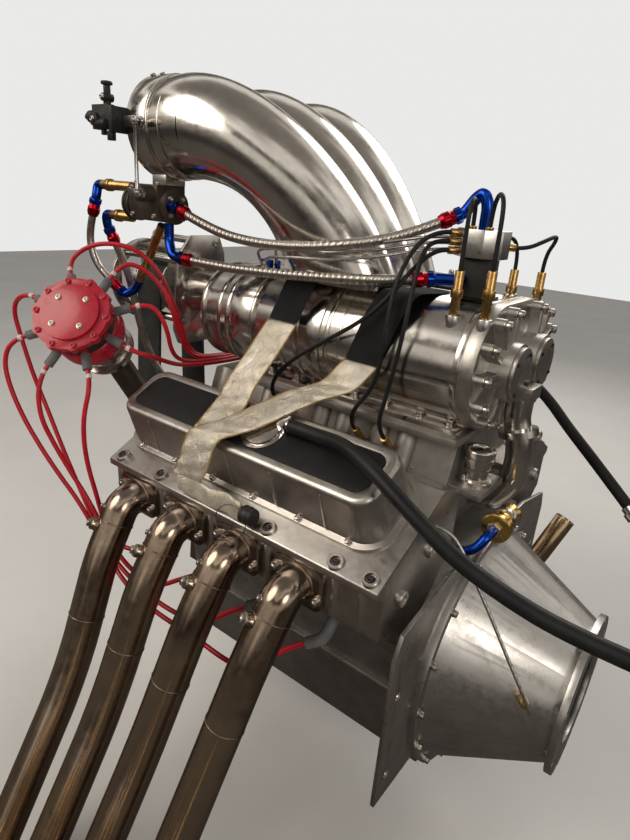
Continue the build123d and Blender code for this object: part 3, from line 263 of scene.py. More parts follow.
class Tree:
    """Builds a material's nodes, one step per method."""

    def __init__(self, nodes: bpy.types.NodeTree) -> None:
        """Wraps a node tree.

        Args:
            nodes: the material's or the world's node tree.
        """
        self.tree = nodes

    def node(self, kind: str, **values: object) -> bpy.types.Node:
        """Adds a node and sets its properties.

        Args:
            kind: the node's type name.
            values: its properties.

        Returns:
            The new node.
        """
        made = self.tree.nodes.new(kind)
        for key, value in values.items():
            setattr(made, key, value)
        return made

    def link(self, start: Socket, end: Socket) -> None:
        """Joins two sockets."""
        self.tree.links.new(start, end)

    def shader(self) -> bpy.types.Node:
        """The Principled BSDF that a new material starts with."""
        return next(n for n in self.tree.nodes if n.type == "BSDF_PRINCIPLED")

    def place(self, own_map: bool) -> Socket:
        """Where on the piece a point is: in its own UV map, or in its object coordinates."""
        return self.node("ShaderNodeTexCoord").outputs["UV" if own_map else "Object"]

    def outward(self) -> Socket:
        """How far out from the engine's middle plane a point is, in metres."""
        parts = self.node("ShaderNodeSeparateXYZ")
        self.link(self.place(False), parts.inputs[0])
        return self.maths("ABSOLUTE", parts.outputs["Y"], 0.0)

    def maths(self, step: str, first: Socket, second: object) -> Socket:
        """One sum of two values.

        Args:
            step: the operation's name.
            first: a socket.
            second: a socket or a number.

        Returns:
            The result's socket.
        """
        made = self.node("ShaderNodeMath", operation=step)
        self.link(first, made.inputs[0])
        if isinstance(second, (int, float)):
            made.inputs[1].default_value = second
        else:
            self.link(second, made.inputs[1])
        return made.outputs[0]

    def stretch(self, place: Socket, factor: Triple) -> Socket:
        """Scales a pattern differently along each axis."""
        made = self.node("ShaderNodeMapping")
        made.inputs["Scale"].default_value = factor
        self.link(place, made.inputs["Vector"])
        return made.outputs["Vector"]

    def noise(self, place: Socket, scale: float, detail: float, rough: float,
              distortion: float = 0.0) -> Socket:
        """Cloudy noise.

        Args:
            place: where on the piece.
            scale: features per metre.
            detail: how many finer layers it has.
            rough: how strong they are.
            distortion: how much it is pulled about.

        Returns:
            The noise's value.
        """
        made = self.node("ShaderNodeTexNoise")
        for key, value in (("Scale", scale), ("Detail", detail), ("Roughness", rough),
                           ("Distortion", distortion)):
            made.inputs[key].default_value = value
        self.link(place, made.inputs["Vector"])
        return made.outputs["Fac"]

    def weave(self, place: Socket, along: float, around: float) -> Socket:
        """Crossed diagonal strands on a UV map.

        Args:
            place: the UV map.
            along: crossings along the first axis.
            around: crossings along the second axis.

        Returns:
            The strands' height, from 0 to 1.
        """
        parts = self.node("ShaderNodeSeparateXYZ")
        self.link(place, parts.inputs[0])
        run = self.maths("MULTIPLY", parts.outputs["X"], along * pi)
        ring = self.maths("MULTIPLY", parts.outputs["Y"], around * pi)
        one = self.maths("SINE", self.maths("ADD", run, ring), 0.0)
        other = self.maths("SINE", self.maths("SUBTRACT", run, ring), 0.0)
        crossed = self.maths("ABSOLUTE", self.maths("MULTIPLY", one, other), 0.0)
        return self.maths("POWER", crossed, 0.5)

    def ramp(self, value: Socket, stops: Sequence[tuple[float, Colour]]) -> Socket:
        """Turns a value into a colour through a few stops."""
        made = self.node("ShaderNodeValToRGB")
        band = made.color_ramp
        while len(band.elements) < len(stops):
            band.elements.new(1.0)
        for element, (at, colour) in zip(band.elements, stops):
            element.position = min(max(at, 0.0), 1.0)
            element.color = (*colour, 1.0)
        self.link(value, made.inputs["Fac"])
        return made.outputs["Color"]

    def remap(self, value: Socket, low: float, high: float, out_low: float,
              out_high: float) -> Socket:
        """Maps one range of a value onto another."""
        made = self.node("ShaderNodeMapRange")
        for key, number in zip(("From Min", "From Max", "To Min", "To Max"), (low, high, out_low, out_high)):
            made.inputs[key].default_value = number
        self.link(value, made.inputs["Value"])
        return made.outputs["Result"]

    def mixed(self, share: Socket, first: Socket, second: Socket) -> Socket:
        """Two shaders, mixed by a share from 0, the first, to 1, the second."""
        made = self.node("ShaderNodeMixShader")
        for place, socket in enumerate((share, first, second)):
            self.link(socket, made.inputs[place])
        return made.outputs[0]

    def background(self, colour: Colour, strength: float = 1.0) -> bpy.types.Node:
        """A world's shader of one colour."""
        made = self.node("ShaderNodeBackground")
        made.inputs["Color"].default_value = (*colour, 1.0)
        made.inputs["Strength"].default_value = strength
        return made

    def bump(self, height: Socket, relief: float) -> Socket:
        """Relief of a given height in metres."""
        made = self.node("ShaderNodeBump")
        made.inputs["Distance"].default_value = relief
        made.inputs["Strength"].default_value = 1.0
        self.link(height, made.inputs["Height"])
        return made.outputs["Normal"]


POLISHED = Finish("polished_aluminium", "polished_aluminium", (0.70, 0.67, 0.63), (0.52, 0.49, 0.45),
                  rough=(0.1, 0.24), pattern=Pattern.BRUSHED, scale=420.0, relief=0.00003, patch=16.0)
MACHINED = Finish("machined_aluminium", "machined_aluminium", (0.58, 0.57, 0.55), (0.43, 0.41, 0.39),
                  rough=(0.24, 0.4), pattern=Pattern.TURNED, scale=700.0, relief=0.00004)
COVER_CAST = Finish("cover_casting", "machined_aluminium", (0.56, 0.54, 0.51), (0.36, 0.33, 0.3),
                    rough=(0.26, 0.44), scale=700.0, relief=0.00012)
CAST = Finish("cast_aluminium", "cast_aluminium", (0.38, 0.36, 0.34), (0.2, 0.18, 0.16), metallic=0.9,
              rough=(0.42, 0.62), scale=520.0, relief=0.0003, patch=14.0)
STEEL = Finish("ground_steel", "steel", (0.55, 0.54, 0.53), (0.36, 0.34, 0.32), rough=(0.2, 0.34),
               pattern=Pattern.BRUSHED, scale=800.0, relief=0.00003)
BOLT = Finish("plated_bolt", "steel", (0.6, 0.57, 0.53), (0.34, 0.3, 0.26), rough=(0.22, 0.38), patch=60.0)
DARK_BOLT = Finish("black_oxide_bolt", "brackets_black", (0.03, 0.03, 0.032), (0.1, 0.09, 0.08), metallic=0.8,
                   rough=(0.35, 0.5), patch=80.0)
DARK_CAST = Finish("dark_magnesium", "black_magnesium", (0.05, 0.038, 0.031), (0.11, 0.085, 0.065),
                   metallic=0.6, rough=(0.38, 0.58), scale=420.0, relief=0.0003)
SATIN_BLACK = Finish("satin_black", "brackets_black", (0.012, 0.012, 0.013), (0.035, 0.033, 0.03),
                     metallic=0.2, rough=(0.38, 0.52), relief=0.0001, specular=0.35)
PANEL_BLACK = Finish("cover_panel_black", "brackets_black", (0.006, 0.006, 0.0065), (0.014, 0.014, 0.015),
                     metallic=0.0, rough=(0.5, 0.66), scale=1500.0, relief=0.0001, specular=0.25)
BLUE = Finish("blue_anodised", "blue_anodised", (0.012, 0.07, 0.46), (0.01, 0.035, 0.26), rough=(0.18, 0.32),
              relief=0.00002, patch=60.0)
RED = Finish("red_anodised", "red_anodised", (0.52, 0.012, 0.025), (0.32, 0.008, 0.015), rough=(0.18, 0.32),
             relief=0.00002, patch=60.0)
GOLD = Finish("gold_anodised", "gold_anodised", (0.8, 0.55, 0.19), (0.62, 0.38, 0.1), rough=(0.14, 0.26),
              relief=0.00002, patch=60.0)
BRASS = Finish("turned_brass", "brass", (0.56, 0.36, 0.13), (0.3, 0.17, 0.06), rough=(0.2, 0.4),
               relief=0.00004, patch=70.0)
CAP_RED = Finish("cap_red", "cap_plastic", (0.5, 0.012, 0.035), (0.36, 0.008, 0.022), metallic=0.0,
                 rough=(0.22, 0.32), scale=1100.0, relief=0.00004, coat=0.2, specular=0.4)
LEAD_RED = Finish("lead_red", "lead_silicone", (0.56, 0.008, 0.022), (0.38, 0.006, 0.014), metallic=0.0,
                  rough=(0.3, 0.42), relief=0.00005, specular=0.4)
BAND_WHITE = Finish("lead_band", "lead_silicone", (0.72, 0.7, 0.66), (0.5, 0.48, 0.44), metallic=0.0,
                    rough=(0.5, 0.65), relief=0.00003, patch=120.0)
BOOT_GREY = Finish("boot_grey", "boot_rubber", (0.16, 0.16, 0.165), (0.1, 0.1, 0.105), metallic=0.0,
                   rough=(0.5, 0.62), relief=0.00008, patch=50.0, specular=0.35)
RUBBER = Finish("hose_rubber", "hose_rubber", (0.006, 0.006, 0.0065), (0.018, 0.017, 0.016), metallic=0.0,
                rough=(0.4, 0.55), relief=0.0001, patch=30.0, specular=0.25)
BELT = Finish("belt_rubber", "belt_rubber", (0.012, 0.012, 0.013), (0.035, 0.034, 0.032), metallic=0.0,
              rough=(0.55, 0.7), pattern=Pattern.TURNED, scale=500.0, relief=0.0002, specular=0.3)
WEBBING = Finish("strap_webbing", "strap_webbing", (0.008, 0.008, 0.009), (0.018, 0.018, 0.02), metallic=0.0,
                 rough=(0.72, 0.85), pattern=Pattern.WEAVE, scale=420.0, relief=0.0006,
                 sheen=0.05, specular=0.2)
SLEEVE = Finish("heat_sleeve", "heat_sleeve", (0.82, 0.77, 0.67), (0.62, 0.54, 0.4), metallic=0.7,
                rough=(0.34, 0.52), pattern=Pattern.CREASED, scale=46.0, relief=0.0055,
                patch=26.0, sheen=0.15)
HEM_GOLD = Finish("sleeve_hem", "heat_sleeve", (0.46, 0.3, 0.09), (0.24, 0.14, 0.04), metallic=0.1,
                  rough=(0.7, 0.85), scale=1400.0, relief=0.0008, patch=120.0, sheen=0.3, specular=0.2)
HEADER = HeatTint("header_steel", "header_steel", (0.42, 0.32, 0.22), (0.26, 0.17, 0.12), rough=(0.1, 0.26),
                  scale=240.0, relief=0.00005, patch=12.0)
WELD = Finish("weld_bead", "header_steel", (0.34, 0.26, 0.2), (0.14, 0.1, 0.08), rough=(0.26, 0.45),
              scale=420.0, relief=0.0003, patch=90.0)


class Bench:
    """The modelling steps that every sub-assembly uses."""

    @staticmethod
    def point(place: Sequence[float]) -> Vector:
        """A place in millimetres as a vector in metres."""
        return Vector(place) * MM

    @staticmethod
    def turn(axis: Sequence[float]) -> Matrix:
        """The turn that brings +Z onto an axis."""
        return Vector(axis).to_track_quat("Z", "Y").to_matrix().to_4x4()

    @staticmethod
    def added(name: str, data: bpy.types.ID) -> Object:
        """A new object in the scene, made of a mesh, a curve, a camera or a lamp."""
        piece = bpy.data.objects.new(name, data)
        bpy.context.scene.collection.objects.link(piece)
        return piece

    @staticmethod
    def clear() -> None:
        """Leaves edit mode and selects nothing."""
        if bpy.context.object is not None and bpy.context.object.mode != "OBJECT":
            bpy.ops.object.mode_set(mode="OBJECT")
        bpy.ops.object.select_all(action="DESELECT")

    @staticmethod
    def only(piece: Object) -> None:
        """Selects one piece and makes it active."""
        Bench.clear()
        piece.select_set(True)
        bpy.context.view_layer.objects.active = piece

    @staticmethod
    def edit(piece: Object, chosen: str = "SELECT") -> None:
        """Enters edit mode with all or none of a piece selected."""
        Bench.only(piece)
        bpy.ops.object.mode_set(mode="EDIT")
        bpy.ops.mesh.select_all(action=chosen)

    @staticmethod
    def done() -> None:
        """Leaves edit mode."""
        bpy.ops.object.mode_set(mode="OBJECT")

    @staticmethod
    def facing(piece: Object, way: Triple, least: float = 0.9) -> None:
        """Selects the faces that point one way, in face mode.

        Args:
            piece: the active piece, in edit mode.
            way: the direction.
            least: the smallest cosine between a face's normal and the direction.
        """
        bpy.ops.mesh.select_mode(type="FACE")
        bpy.ops.mesh.select_all(action="DESELECT")
        bpy.ops.object.mode_set(mode="OBJECT")
        goal = Vector(way).normalized()
        for face in piece.data.polygons:
            face.select = face.normal.dot(goal) > least
        bpy.ops.object.mode_set(mode="EDIT")

    @staticmethod
    def apply(piece: Object, kind: str, **settings: object) -> None:
        """Adds a modifier with its settings and applies it.

        Args:
            piece: the piece.
            kind: the modifier's type.
            settings: its properties.
        """
        Bench.only(piece)
        modifier = piece.modifiers.new(kind.lower(), kind)
        for key, value in settings.items():
            setattr(modifier, key, value)
        bpy.ops.object.modifier_apply(modifier=modifier.name)

    @staticmethod
    def soften(piece: Object, width: float, segments: int = 2) -> None:
        """Rounds a piece's sharp edges by a width in metres and smooths its shading."""
        Bench.apply(piece, "BEVEL", width=width, segments=segments, limit_method="ANGLE",
                    angle_limit=SMOOTH, use_clamp_overlap=True)
        Bench.smooth(piece)

    @staticmethod
    def smooth(piece: Object, angle: float = SMOOTH) -> None:
        """Smooths the shading below an angle."""
        Bench.only(piece)
        bpy.ops.object.shade_smooth_by_angle(angle=angle)

    @staticmethod
    def settle(piece: Object) -> None:
        """Moves a piece's place into its mesh."""
        Bench.only(piece)
        bpy.ops.object.transform_apply(location=True, rotation=True, scale=True)

    @staticmethod
    def refined(node: str, name: str, width: float = 0.0) -> Object:
        """A clean copy of a CAD node's mesh, with its sharp edges rounded.

        Args:
            node: the CAD node.
            name: the new piece's name.
            width: the rounding, in metres.

        Returns:
            The new piece.
        """
        piece = Bench.added(name, bpy.data.objects[node].data.copy())
        piece.data.materials.clear()
        Bench.edit(piece)
        bpy.ops.mesh.remove_doubles(threshold=MERGE)
        bpy.ops.mesh.dissolve_limited(angle_limit=NEARLY_FLAT)
        Bench.done()
        bpy.ops.mesh.customdata_custom_splitnormals_clear()
        if width:
            Bench.soften(piece, width)
        else:
            Bench.smooth(piece)
        return piece

    @staticmethod
    def rod(name: str, start: Sequence[float], end: Sequence[float], radius: float, sides: int = 24,
            bevel: float = 0.6) -> Object:
        """A bar between two places, with rounded ends, in millimetres.

        Args:
            name: the piece's name.
            start: the middle of one end.
            end: the middle of the other end.
            radius: its radius, to the corners where it has few sides.
            sides: how many sides it has; 6 makes a hexagon.
            bevel: the rounding of its end edges.

        Returns:
            The piece.
        """
        a, b = Bench.point(start), Bench.point(end)
        way = b - a
        Bench.clear()
        bpy.ops.mesh.primitive_cylinder_add(vertices=sides, radius=radius * MM, depth=way.length)
        piece = bpy.context.object
        piece.name = name
        Bench.edit(piece)
        for side, least in ((UP, 0.9), (DOWN, 0.98)):
            Bench.facing(piece, side, least)
            bpy.ops.mesh.bevel(offset=bevel * MM, segments=2, affect="EDGES")
        Bench.done()
        piece.data.transform(Matrix.Translation((a + b) / 2) @ Bench.turn(way))
        Bench.smooth(piece)
        return piece

    @staticmethod
    def lathe(name: str, profile: Sequence[tuple[float, float]], base: Sequence[float], axis: Sequence[float],
              steps: int = 32) -> Object:
        """A turned piece: a profile of height and radius, spun about its axis.

        Args:
            name: the piece's name.
            profile: heights along the axis and radii, in millimetres.
            base: where height 0 is.
            axis: the direction of the axis.
            steps: how many steps the spin has.

        Returns:
            The piece.
        """
        mesh = bpy.data.meshes.new(name)
        points = [(radius * MM, 0.0, height * MM) for height, radius in profile]
        mesh.from_pydata(points, [(i, i + 1) for i in range(len(points) - 1)], [])
        piece = Bench.added(name, mesh)
        Bench.edit(piece)
        bpy.ops.mesh.spin(steps=steps, angle=2 * pi, center=(0, 0, 0), axis=UP)
        bpy.ops.mesh.select_all(action="SELECT")
        bpy.ops.mesh.remove_doubles(threshold=0.00001)
        bpy.ops.mesh.normals_make_consistent(inside=False)
        Bench.done()
        piece.data.transform(Matrix.Translation(Bench.point(base)) @ Bench.turn(axis))
        Bench.smooth(piece)
        return piece

    @staticmethod
    def extrude(way: Triple) -> None:
        """Pulls the whole flat face of the piece in edit mode out into a plate, and leaves edit mode."""
        bpy.ops.mesh.select_all(action="SELECT")
        bpy.ops.mesh.extrude_region_move(TRANSFORM_OT_translate={"value": tuple(Bench.point(way))})
        bpy.ops.mesh.select_all(action="SELECT")
        bpy.ops.mesh.normals_make_consistent(inside=False)
        Bench.done()

    @staticmethod
    def torus(radius: float, thick: float, centre: Sequence[float], turn: Matrix, steps: int,
              sides: int = 8) -> Object:
        """A ring of round section.

        Args:
            radius: the ring's radius, in millimetres.
            thick: its section's radius.
            centre: its centre.
            turn: the turn that its axis, +Z, takes.
            steps: how many steps it has round its axis.
            sides: how many sides its section has.

        Returns:
            The piece.
        """
        Bench.clear()
        bpy.ops.mesh.primitive_torus_add(major_radius=radius * MM, minor_radius=thick * MM,
                                         major_segments=steps, minor_segments=sides)
        piece = bpy.context.object
        piece.data.transform(Matrix.Translation(Bench.point(centre)) @ turn)
        return piece

    @staticmethod
    def tube(name: str, points: Sequence[Vector], ring: int) -> Object:
        """A closed skin over rings of points, with a face over each end.

        Args:
            name: the piece's name.
            points: the points, in metres, ring by ring.
            ring: how many points a ring has.

        Returns:
            The piece.
        """
        last = len(points) - ring
        faces = [(start + step, start + (step + 1) % ring,
                  start + ring + (step + 1) % ring, start + ring + step)
                 for start in range(0, last, ring) for step in range(ring)]
        faces += [tuple(range(ring)), tuple(reversed(range(last, len(points))))]
        mesh = bpy.data.meshes.new(name)
        mesh.from_pydata([tuple(point) for point in points], [], faces)
        piece = Bench.added(name, mesh)
        Bench.edit(piece)
        bpy.ops.mesh.normals_make_consistent(inside=False)
        Bench.done()
        return piece

    @staticmethod
    def plump(piece: Object) -> Object:
        """Rounds a piece of cloth by one subdivision and smooths its shading."""
        Bench.apply(piece, "SUBSURF", levels=1, render_levels=1)
        Bench.smooth(piece, CLOTH_SMOOTH)
        return piece

    @staticmethod
    def join(name: str, parts: Sequence[Object]) -> Object:
        """Joins pieces into one."""
        Bench.clear()
        for part in parts:
            part.select_set(True)
        bpy.context.view_layer.objects.active = parts[0]
        bpy.ops.object.join()
        parts[0].name = name
        return parts[0]

    @staticmethod
    def scatter(name: str, template: Object, places: Iterable[Place]) -> Object:
        """Copies a piece that stands on the origin to many places, each with its axis, as one piece.

        Args:
            name: the new piece's name.
            template: the piece to copy, which is then removed.
            places: a place in millimetres and a direction for each copy.

        Returns:
            The joined piece.
        """
        copies = []
        for place, axis in places:
            copy = Bench.added(name, template.data.copy())
            copy.data.transform(Matrix.Translation(Bench.point(place)) @ Bench.turn(axis))
            copies.append(copy)
        bpy.data.objects.remove(template)
        return Bench.join(name, copies)

    @staticmethod
    def pipe(name: str, points: Sequence[Sequence[float]], radius: float, sides: int = 8) -> Object:
        """A rigid round tube along a smooth line through its control points, as a mesh."""
        line = Bench.line(name, points, radius, sides)
        Bench.only(line)
        bpy.ops.object.convert(target="MESH")
        piece = bpy.context.object
        Bench.smooth(piece, PIPE_SMOOTH)
        return piece

    @staticmethod
    def line(name: str, points: Sequence[Sequence[float]], radius: float, sides: int = 8) -> Object:
        """A round tube as a curve of one NURBS spline.

        Args:
            name: the piece's name.
            points: the control points, in millimetres.
            radius: the tube's radius, in millimetres.
            sides: the bevel's resolution.

        Returns:
            The curve object.
        """
        curve = bpy.data.curves.new(name, "CURVE")
        curve.dimensions = "3D"
        curve.bevel_depth = radius * MM
        curve.bevel_resolution = sides
        curve.resolution_u = 8
        curve.use_fill_caps = True
        spline = curve.splines.new("NURBS")
        spline.points.add(len(points) - 1)
        for target, place in zip(spline.points, points):
            target.co = (*Bench.point(place), 1.0)
        spline.order_u = 3
        spline.use_endpoint_u = True
        return Bench.added(name, curve)

    @staticmethod
    def dress(piece: Object, finish: Finish, body: Body = Body.ENGINE, instead: Sequence[str] = ()) -> Object:
        """Gives a finished piece its material and body.

        Args:
            piece: the piece, in place.
            finish: its finish.
            body: the body that it rides on.
            instead: the CAD nodes that it stands for.

        Returns:
            The same piece.
        """
        piece.data.materials.clear()
        piece.data.materials.append(finish.material())
        if instead:
            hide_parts(*instead)
        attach(piece, body.value)
        LOG.info("%s rides on %s, in %s", piece.name, body.value, finish.name)
        return piece

    @staticmethod
    def group(name: str, parts: Sequence[Object], finish: Finish, instead: Sequence[str] = ()) -> Object:
        """Joins parts into one piece of the engine's fixed body and dresses it."""
        return Bench.dress(Bench.join(name, parts), finish, Body.ENGINE, instead)

    @staticmethod
    def weld(name: str, beads: Sequence[Object], ripple: float, finish: Finish) -> Object:
        """Joins weld beads and gives them the fine ripple of a hand-laid weld, in metres."""
        piece = Bench.join(name, beads)
        cloud = bpy.data.textures.get("bead_ripple") or bpy.data.textures.new("bead_ripple", "CLOUDS")
        cloud.noise_scale = 0.004
        Bench.apply(piece, "DISPLACE", texture=cloud, strength=ripple, mid_level=0.5)
        Bench.smooth(piece, BEAD_SMOOTH)
        return Bench.dress(piece, finish)


class Head(Enum):
    """The kinds of bolt heads on the engine, by how many sides they are modelled with."""

    HEX = 6
    TWELVE = 12
    SOCKET = 20


@dataclass(frozen=True)
class Bolt:
    """A bolt head on its washer.

    Attributes:
        head: the kind of head.
        radius: the head's radius to its corners, in millimetres.
        height: the head's height, in millimetres.
    """

    head: Head = Head.HEX
    radius: float = 6.0
    height: float = 5.0

    def model(self) -> Object:
        """Models the head on the origin, standing along +Z.

        Returns:
            The bolt, as a template to copy.
        """
        washer, edge, crown = 1.4, 0.7, 0.5
        socket_share, rim_share, washer_share = 0.55, 0.3, 1.3
        body = Bench.rod("bolt", (0, 0, washer), (0, 0, washer + self.height), self.radius,
                         self.head.value, edge)
        Bench.edit(body, "DESELECT")
        Bench.facing(body, UP, 0.99)
        depth = -socket_share * self.height if self.head is Head.SOCKET else crown
        bpy.ops.mesh.inset(thickness=self.radius * rim_share * MM)
        bpy.ops.mesh.extrude_region_move(TRANSFORM_OT_translate={"value": (0, 0, depth * MM)})
        Bench.done()
        ring = Bench.rod("washer", (0, 0, 0), (0, 0, washer), self.radius * washer_share, 20, 0.3)
        return Bench.join("bolt", [body, ring])

    def spread(self, name: str, places: Iterable[Place], finish: Finish = BOLT,
               body: Body = Body.ENGINE) -> Object:
        """Sets a copy of the bolt at each of many places, as one dressed piece.

        Args:
            name: the piece's name.
            places: a place in millimetres and a direction for each bolt.
            finish: the bolts' finish.
            body: the body that they ride on.

        Returns:
            The piece.
        """
        return Bench.dress(Bench.scatter(name, self.model(), places), finish, body)


@dataclass
class Studio:
    """Camera, floor and light.

    Attributes:
        eye: the camera's place, in millimetres.
        right, down, forward: the picture's directions.
        focal_px: the camera's focal length, in the photograph's pixels.
        long_side_px: the photograph's longer side.
        sensor: the camera's sensor, in millimetres.
        floor_half: half the floor's side, in metres.
        floor_shades, floor_dark: the floor's two shades, and what metal mirrors of it.
        surround: the shades that metal mirrors, from below to above.
        plain, plain_power: the plain light's colour and strength.
        backdrop: what the camera sees behind the engine.
        aim: where the lamps point, in metres.
        lamps: each lamp's place, size, power and colour.
    """

    eye: Triple = (255.0, -869.0, 714.0)
    right: Triple = (0.7877, 0.6116, 0.0733)
    down: Triple = (0.2717, -0.2382, -0.9325)
    forward: Triple = (-0.5528, 0.7545, -0.3538)
    focal_px: float = 586.0
    long_side_px: float = 840.0
    sensor: float = 36.0
    floor_half: float = 9.0
    floor_shades: tuple[tuple[float, Colour], ...] = ((0.3, (0.74, 0.73, 0.71)), (0.7, (0.8, 0.79, 0.77)))
    floor_dark: Colour = (0.12, 0.11, 0.1)
    surround: tuple[tuple[float, Colour], ...] = (
        (0.0, (0.06, 0.055, 0.05)), (0.3, (0.13, 0.115, 0.1)), (0.45, (0.05, 0.045, 0.042)),
        (0.53, (0.3, 0.26, 0.22)), (0.6, (0.78, 0.73, 0.66)), (0.68, (0.7, 0.66, 0.6)),
        (0.72, (0.09, 0.08, 0.07)), (0.8, (0.16, 0.14, 0.12)), (0.83, (1.0, 0.95, 0.88)),
        (0.88, (0.85, 0.8, 0.73)), (0.91, (0.3, 0.27, 0.24)), (1.0, (0.2, 0.18, 0.16)))
    plain: Colour = (1.0, 0.96, 0.92)
    plain_power: float = 0.3
    backdrop: Colour = (0.82, 0.82, 0.81)
    aim: Triple = (-0.3, 0.0, 0.3)
    lamps: tuple[tuple[Triple, float, float, Colour], ...] = (
        ((-1.7, -2.5, 2.5), 2.4, 60.0, (1.0, 0.91, 0.8)),
        ((2.6, -1.6, 1.7), 1.2, 22.0, (1.0, 0.93, 0.84)),
        ((-0.4, 2.6, 2.2), 2.2, 34.0, (1.0, 0.96, 0.9)),
    )

    def camera(self) -> None:
        """Places the camera where the photograph was taken."""
        data = bpy.data.cameras.new("camera")
        data.sensor_width = self.sensor
        data.lens = self.focal_px / self.long_side_px * self.sensor
        data.clip_start, data.clip_end = 0.02, 60.0
        camera = Bench.added("camera", data)
        axes = Matrix((self.right, tuple(-v for v in self.down),
                       tuple(-v for v in self.forward))).transposed()
        camera.matrix_world = Matrix.Translation(Bench.point(self.eye)) @ axes.to_4x4()
        bpy.context.scene.camera = camera

    def floor(self, low: float) -> None:
        """A pale floor at the height on which the engine stands.

        Args:
            low: the floor's height, in metres.
        """
        Bench.clear()
        bpy.ops.mesh.primitive_plane_add(size=2 * self.floor_half, location=(0, 0, low))
        floor = bpy.context.object
        floor.name = "studio_floor"
        Bench.settle(floor)
        made = bpy.data.materials.new("studio_floor")
        made.use_nodes = True
        tree = Tree(made.node_tree)
        shader = tree.shader()
        tint = tree.noise(tree.place(False), 2.2, 4.0, 0.6)
        tree.link(tree.ramp(tint, self.floor_shades), shader.inputs["Base Color"])
        shader.inputs["Roughness"].default_value = 0.75
        grain = tree.noise(tree.place(False), 160.0, 3.0, 0.6)
        tree.link(tree.bump(grain, 0.0004), shader.inputs["Normal"])
        dark = tree.node("ShaderNodeBsdfDiffuse")
        dark.inputs["Color"].default_value = (*self.floor_dark, 1.0)
        mirrored = tree.node("ShaderNodeLightPath").outputs["Is Glossy Ray"]
        out = next(n for n in tree.tree.nodes if n.type == "OUTPUT_MATERIAL")
        tree.link(tree.mixed(mirrored, shader.outputs[0], dark.outputs[0]), out.inputs["Surface"])
        floor.data.materials.append(made)
        floor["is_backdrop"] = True

    def world(self) -> None:
        """A pale surround that metal mirrors, with dark bands overhead, and a softer one for plain light."""
        world = bpy.data.worlds.new("studio")
        world.use_nodes = True
        bpy.context.scene.world = world
        tree = Tree(world.node_tree)
        tree.tree.nodes.clear()
        way = tree.node("ShaderNodeTexCoord").outputs["Generated"]
        parts = tree.node("ShaderNodeSeparateXYZ")
        tree.link(way, parts.inputs[0])
        sway = tree.maths("MULTIPLY", tree.noise(way, 1.7, 2.0, 0.5), 0.34)
        height = tree.maths("ADD", tree.maths("MULTIPLY", parts.outputs["Z"], 0.5), sway)
        mirror = tree.background((1.0, 1.0, 1.0))
        tree.link(tree.ramp(tree.maths("ADD", height, 0.33), self.surround), mirror.inputs["Color"])
        plain = tree.background(self.plain, self.plain_power)
        backdrop = tree.background(self.backdrop)
        rays = tree.node("ShaderNodeLightPath")
        seen = tree.maths("MAXIMUM", rays.outputs["Is Glossy Ray"], rays.outputs["Is Transmission Ray"])
        inner = tree.mixed(seen, plain.outputs[0], mirror.outputs[0])
        final = tree.mixed(rays.outputs["Is Camera Ray"], inner, backdrop.outputs[0])
        tree.link(final, tree.node("ShaderNodeOutputWorld").inputs["Surface"])

    def light(self) -> None:
        """Large soft lamps round the engine."""
        for index, (place, size, power, colour) in enumerate(self.lamps):
            data = bpy.data.lights.new(f"lamp_{index}", "AREA")
            data.shape, data.size, data.energy, data.color = "DISK", size, power, colour
            lamp = Bench.added(f"lamp_{index}", data)
            lamp.location = place
            way = Vector(self.aim) - Vector(place)
            lamp.rotation_euler = way.to_track_quat("-Z", "Y").to_euler()

    def build(self, low: float) -> None:
        """Sets the whole studio up round an engine that reaches down to a height."""
        bpy.context.scene.view_settings.view_transform = "Standard"
        self.camera()
        self.floor(low)
        self.world()
        self.light()


# The middle corners of each lead, from the front plug's to the rear one's
LEADS_LEFT = [
    [(-598, -362, 345), (-600, -364, 295), (-598, -360, 245), (-588, -354, 195), (-577, -351, 148),
     (-553, -345, 108)],
    [(-668, -402, 335), (-652, -388, 280), (-634, -372, 228), (-608, -358, 178), (-572, -352, 126),
     (-528, -349, 84), (-478, -346, 70), (-430, -344, 76)],
    [(-760, -408, 412), (-748, -408, 365), (-728, -400, 312), (-704, -388, 262), (-674, -374, 212),
     (-636, -360, 164), (-590, -354, 110), (-538, -352, 73), (-480, -352, 56), (-420, -354, 52),
     (-360, -352, 55), (-312, -348, 66)],
    [(-818, -356, 492), (-806, -350, 430), (-789, -344, 366), (-762, -336, 300), (-728, -334, 238),
     (-684, -334, 178), (-628, -339, 120), (-565, -350, 68), (-495, -357, 40), (-415, -359, 34),
     (-330, -357, 38), (-245, -358, 35), (-200, -352, 50)],
]
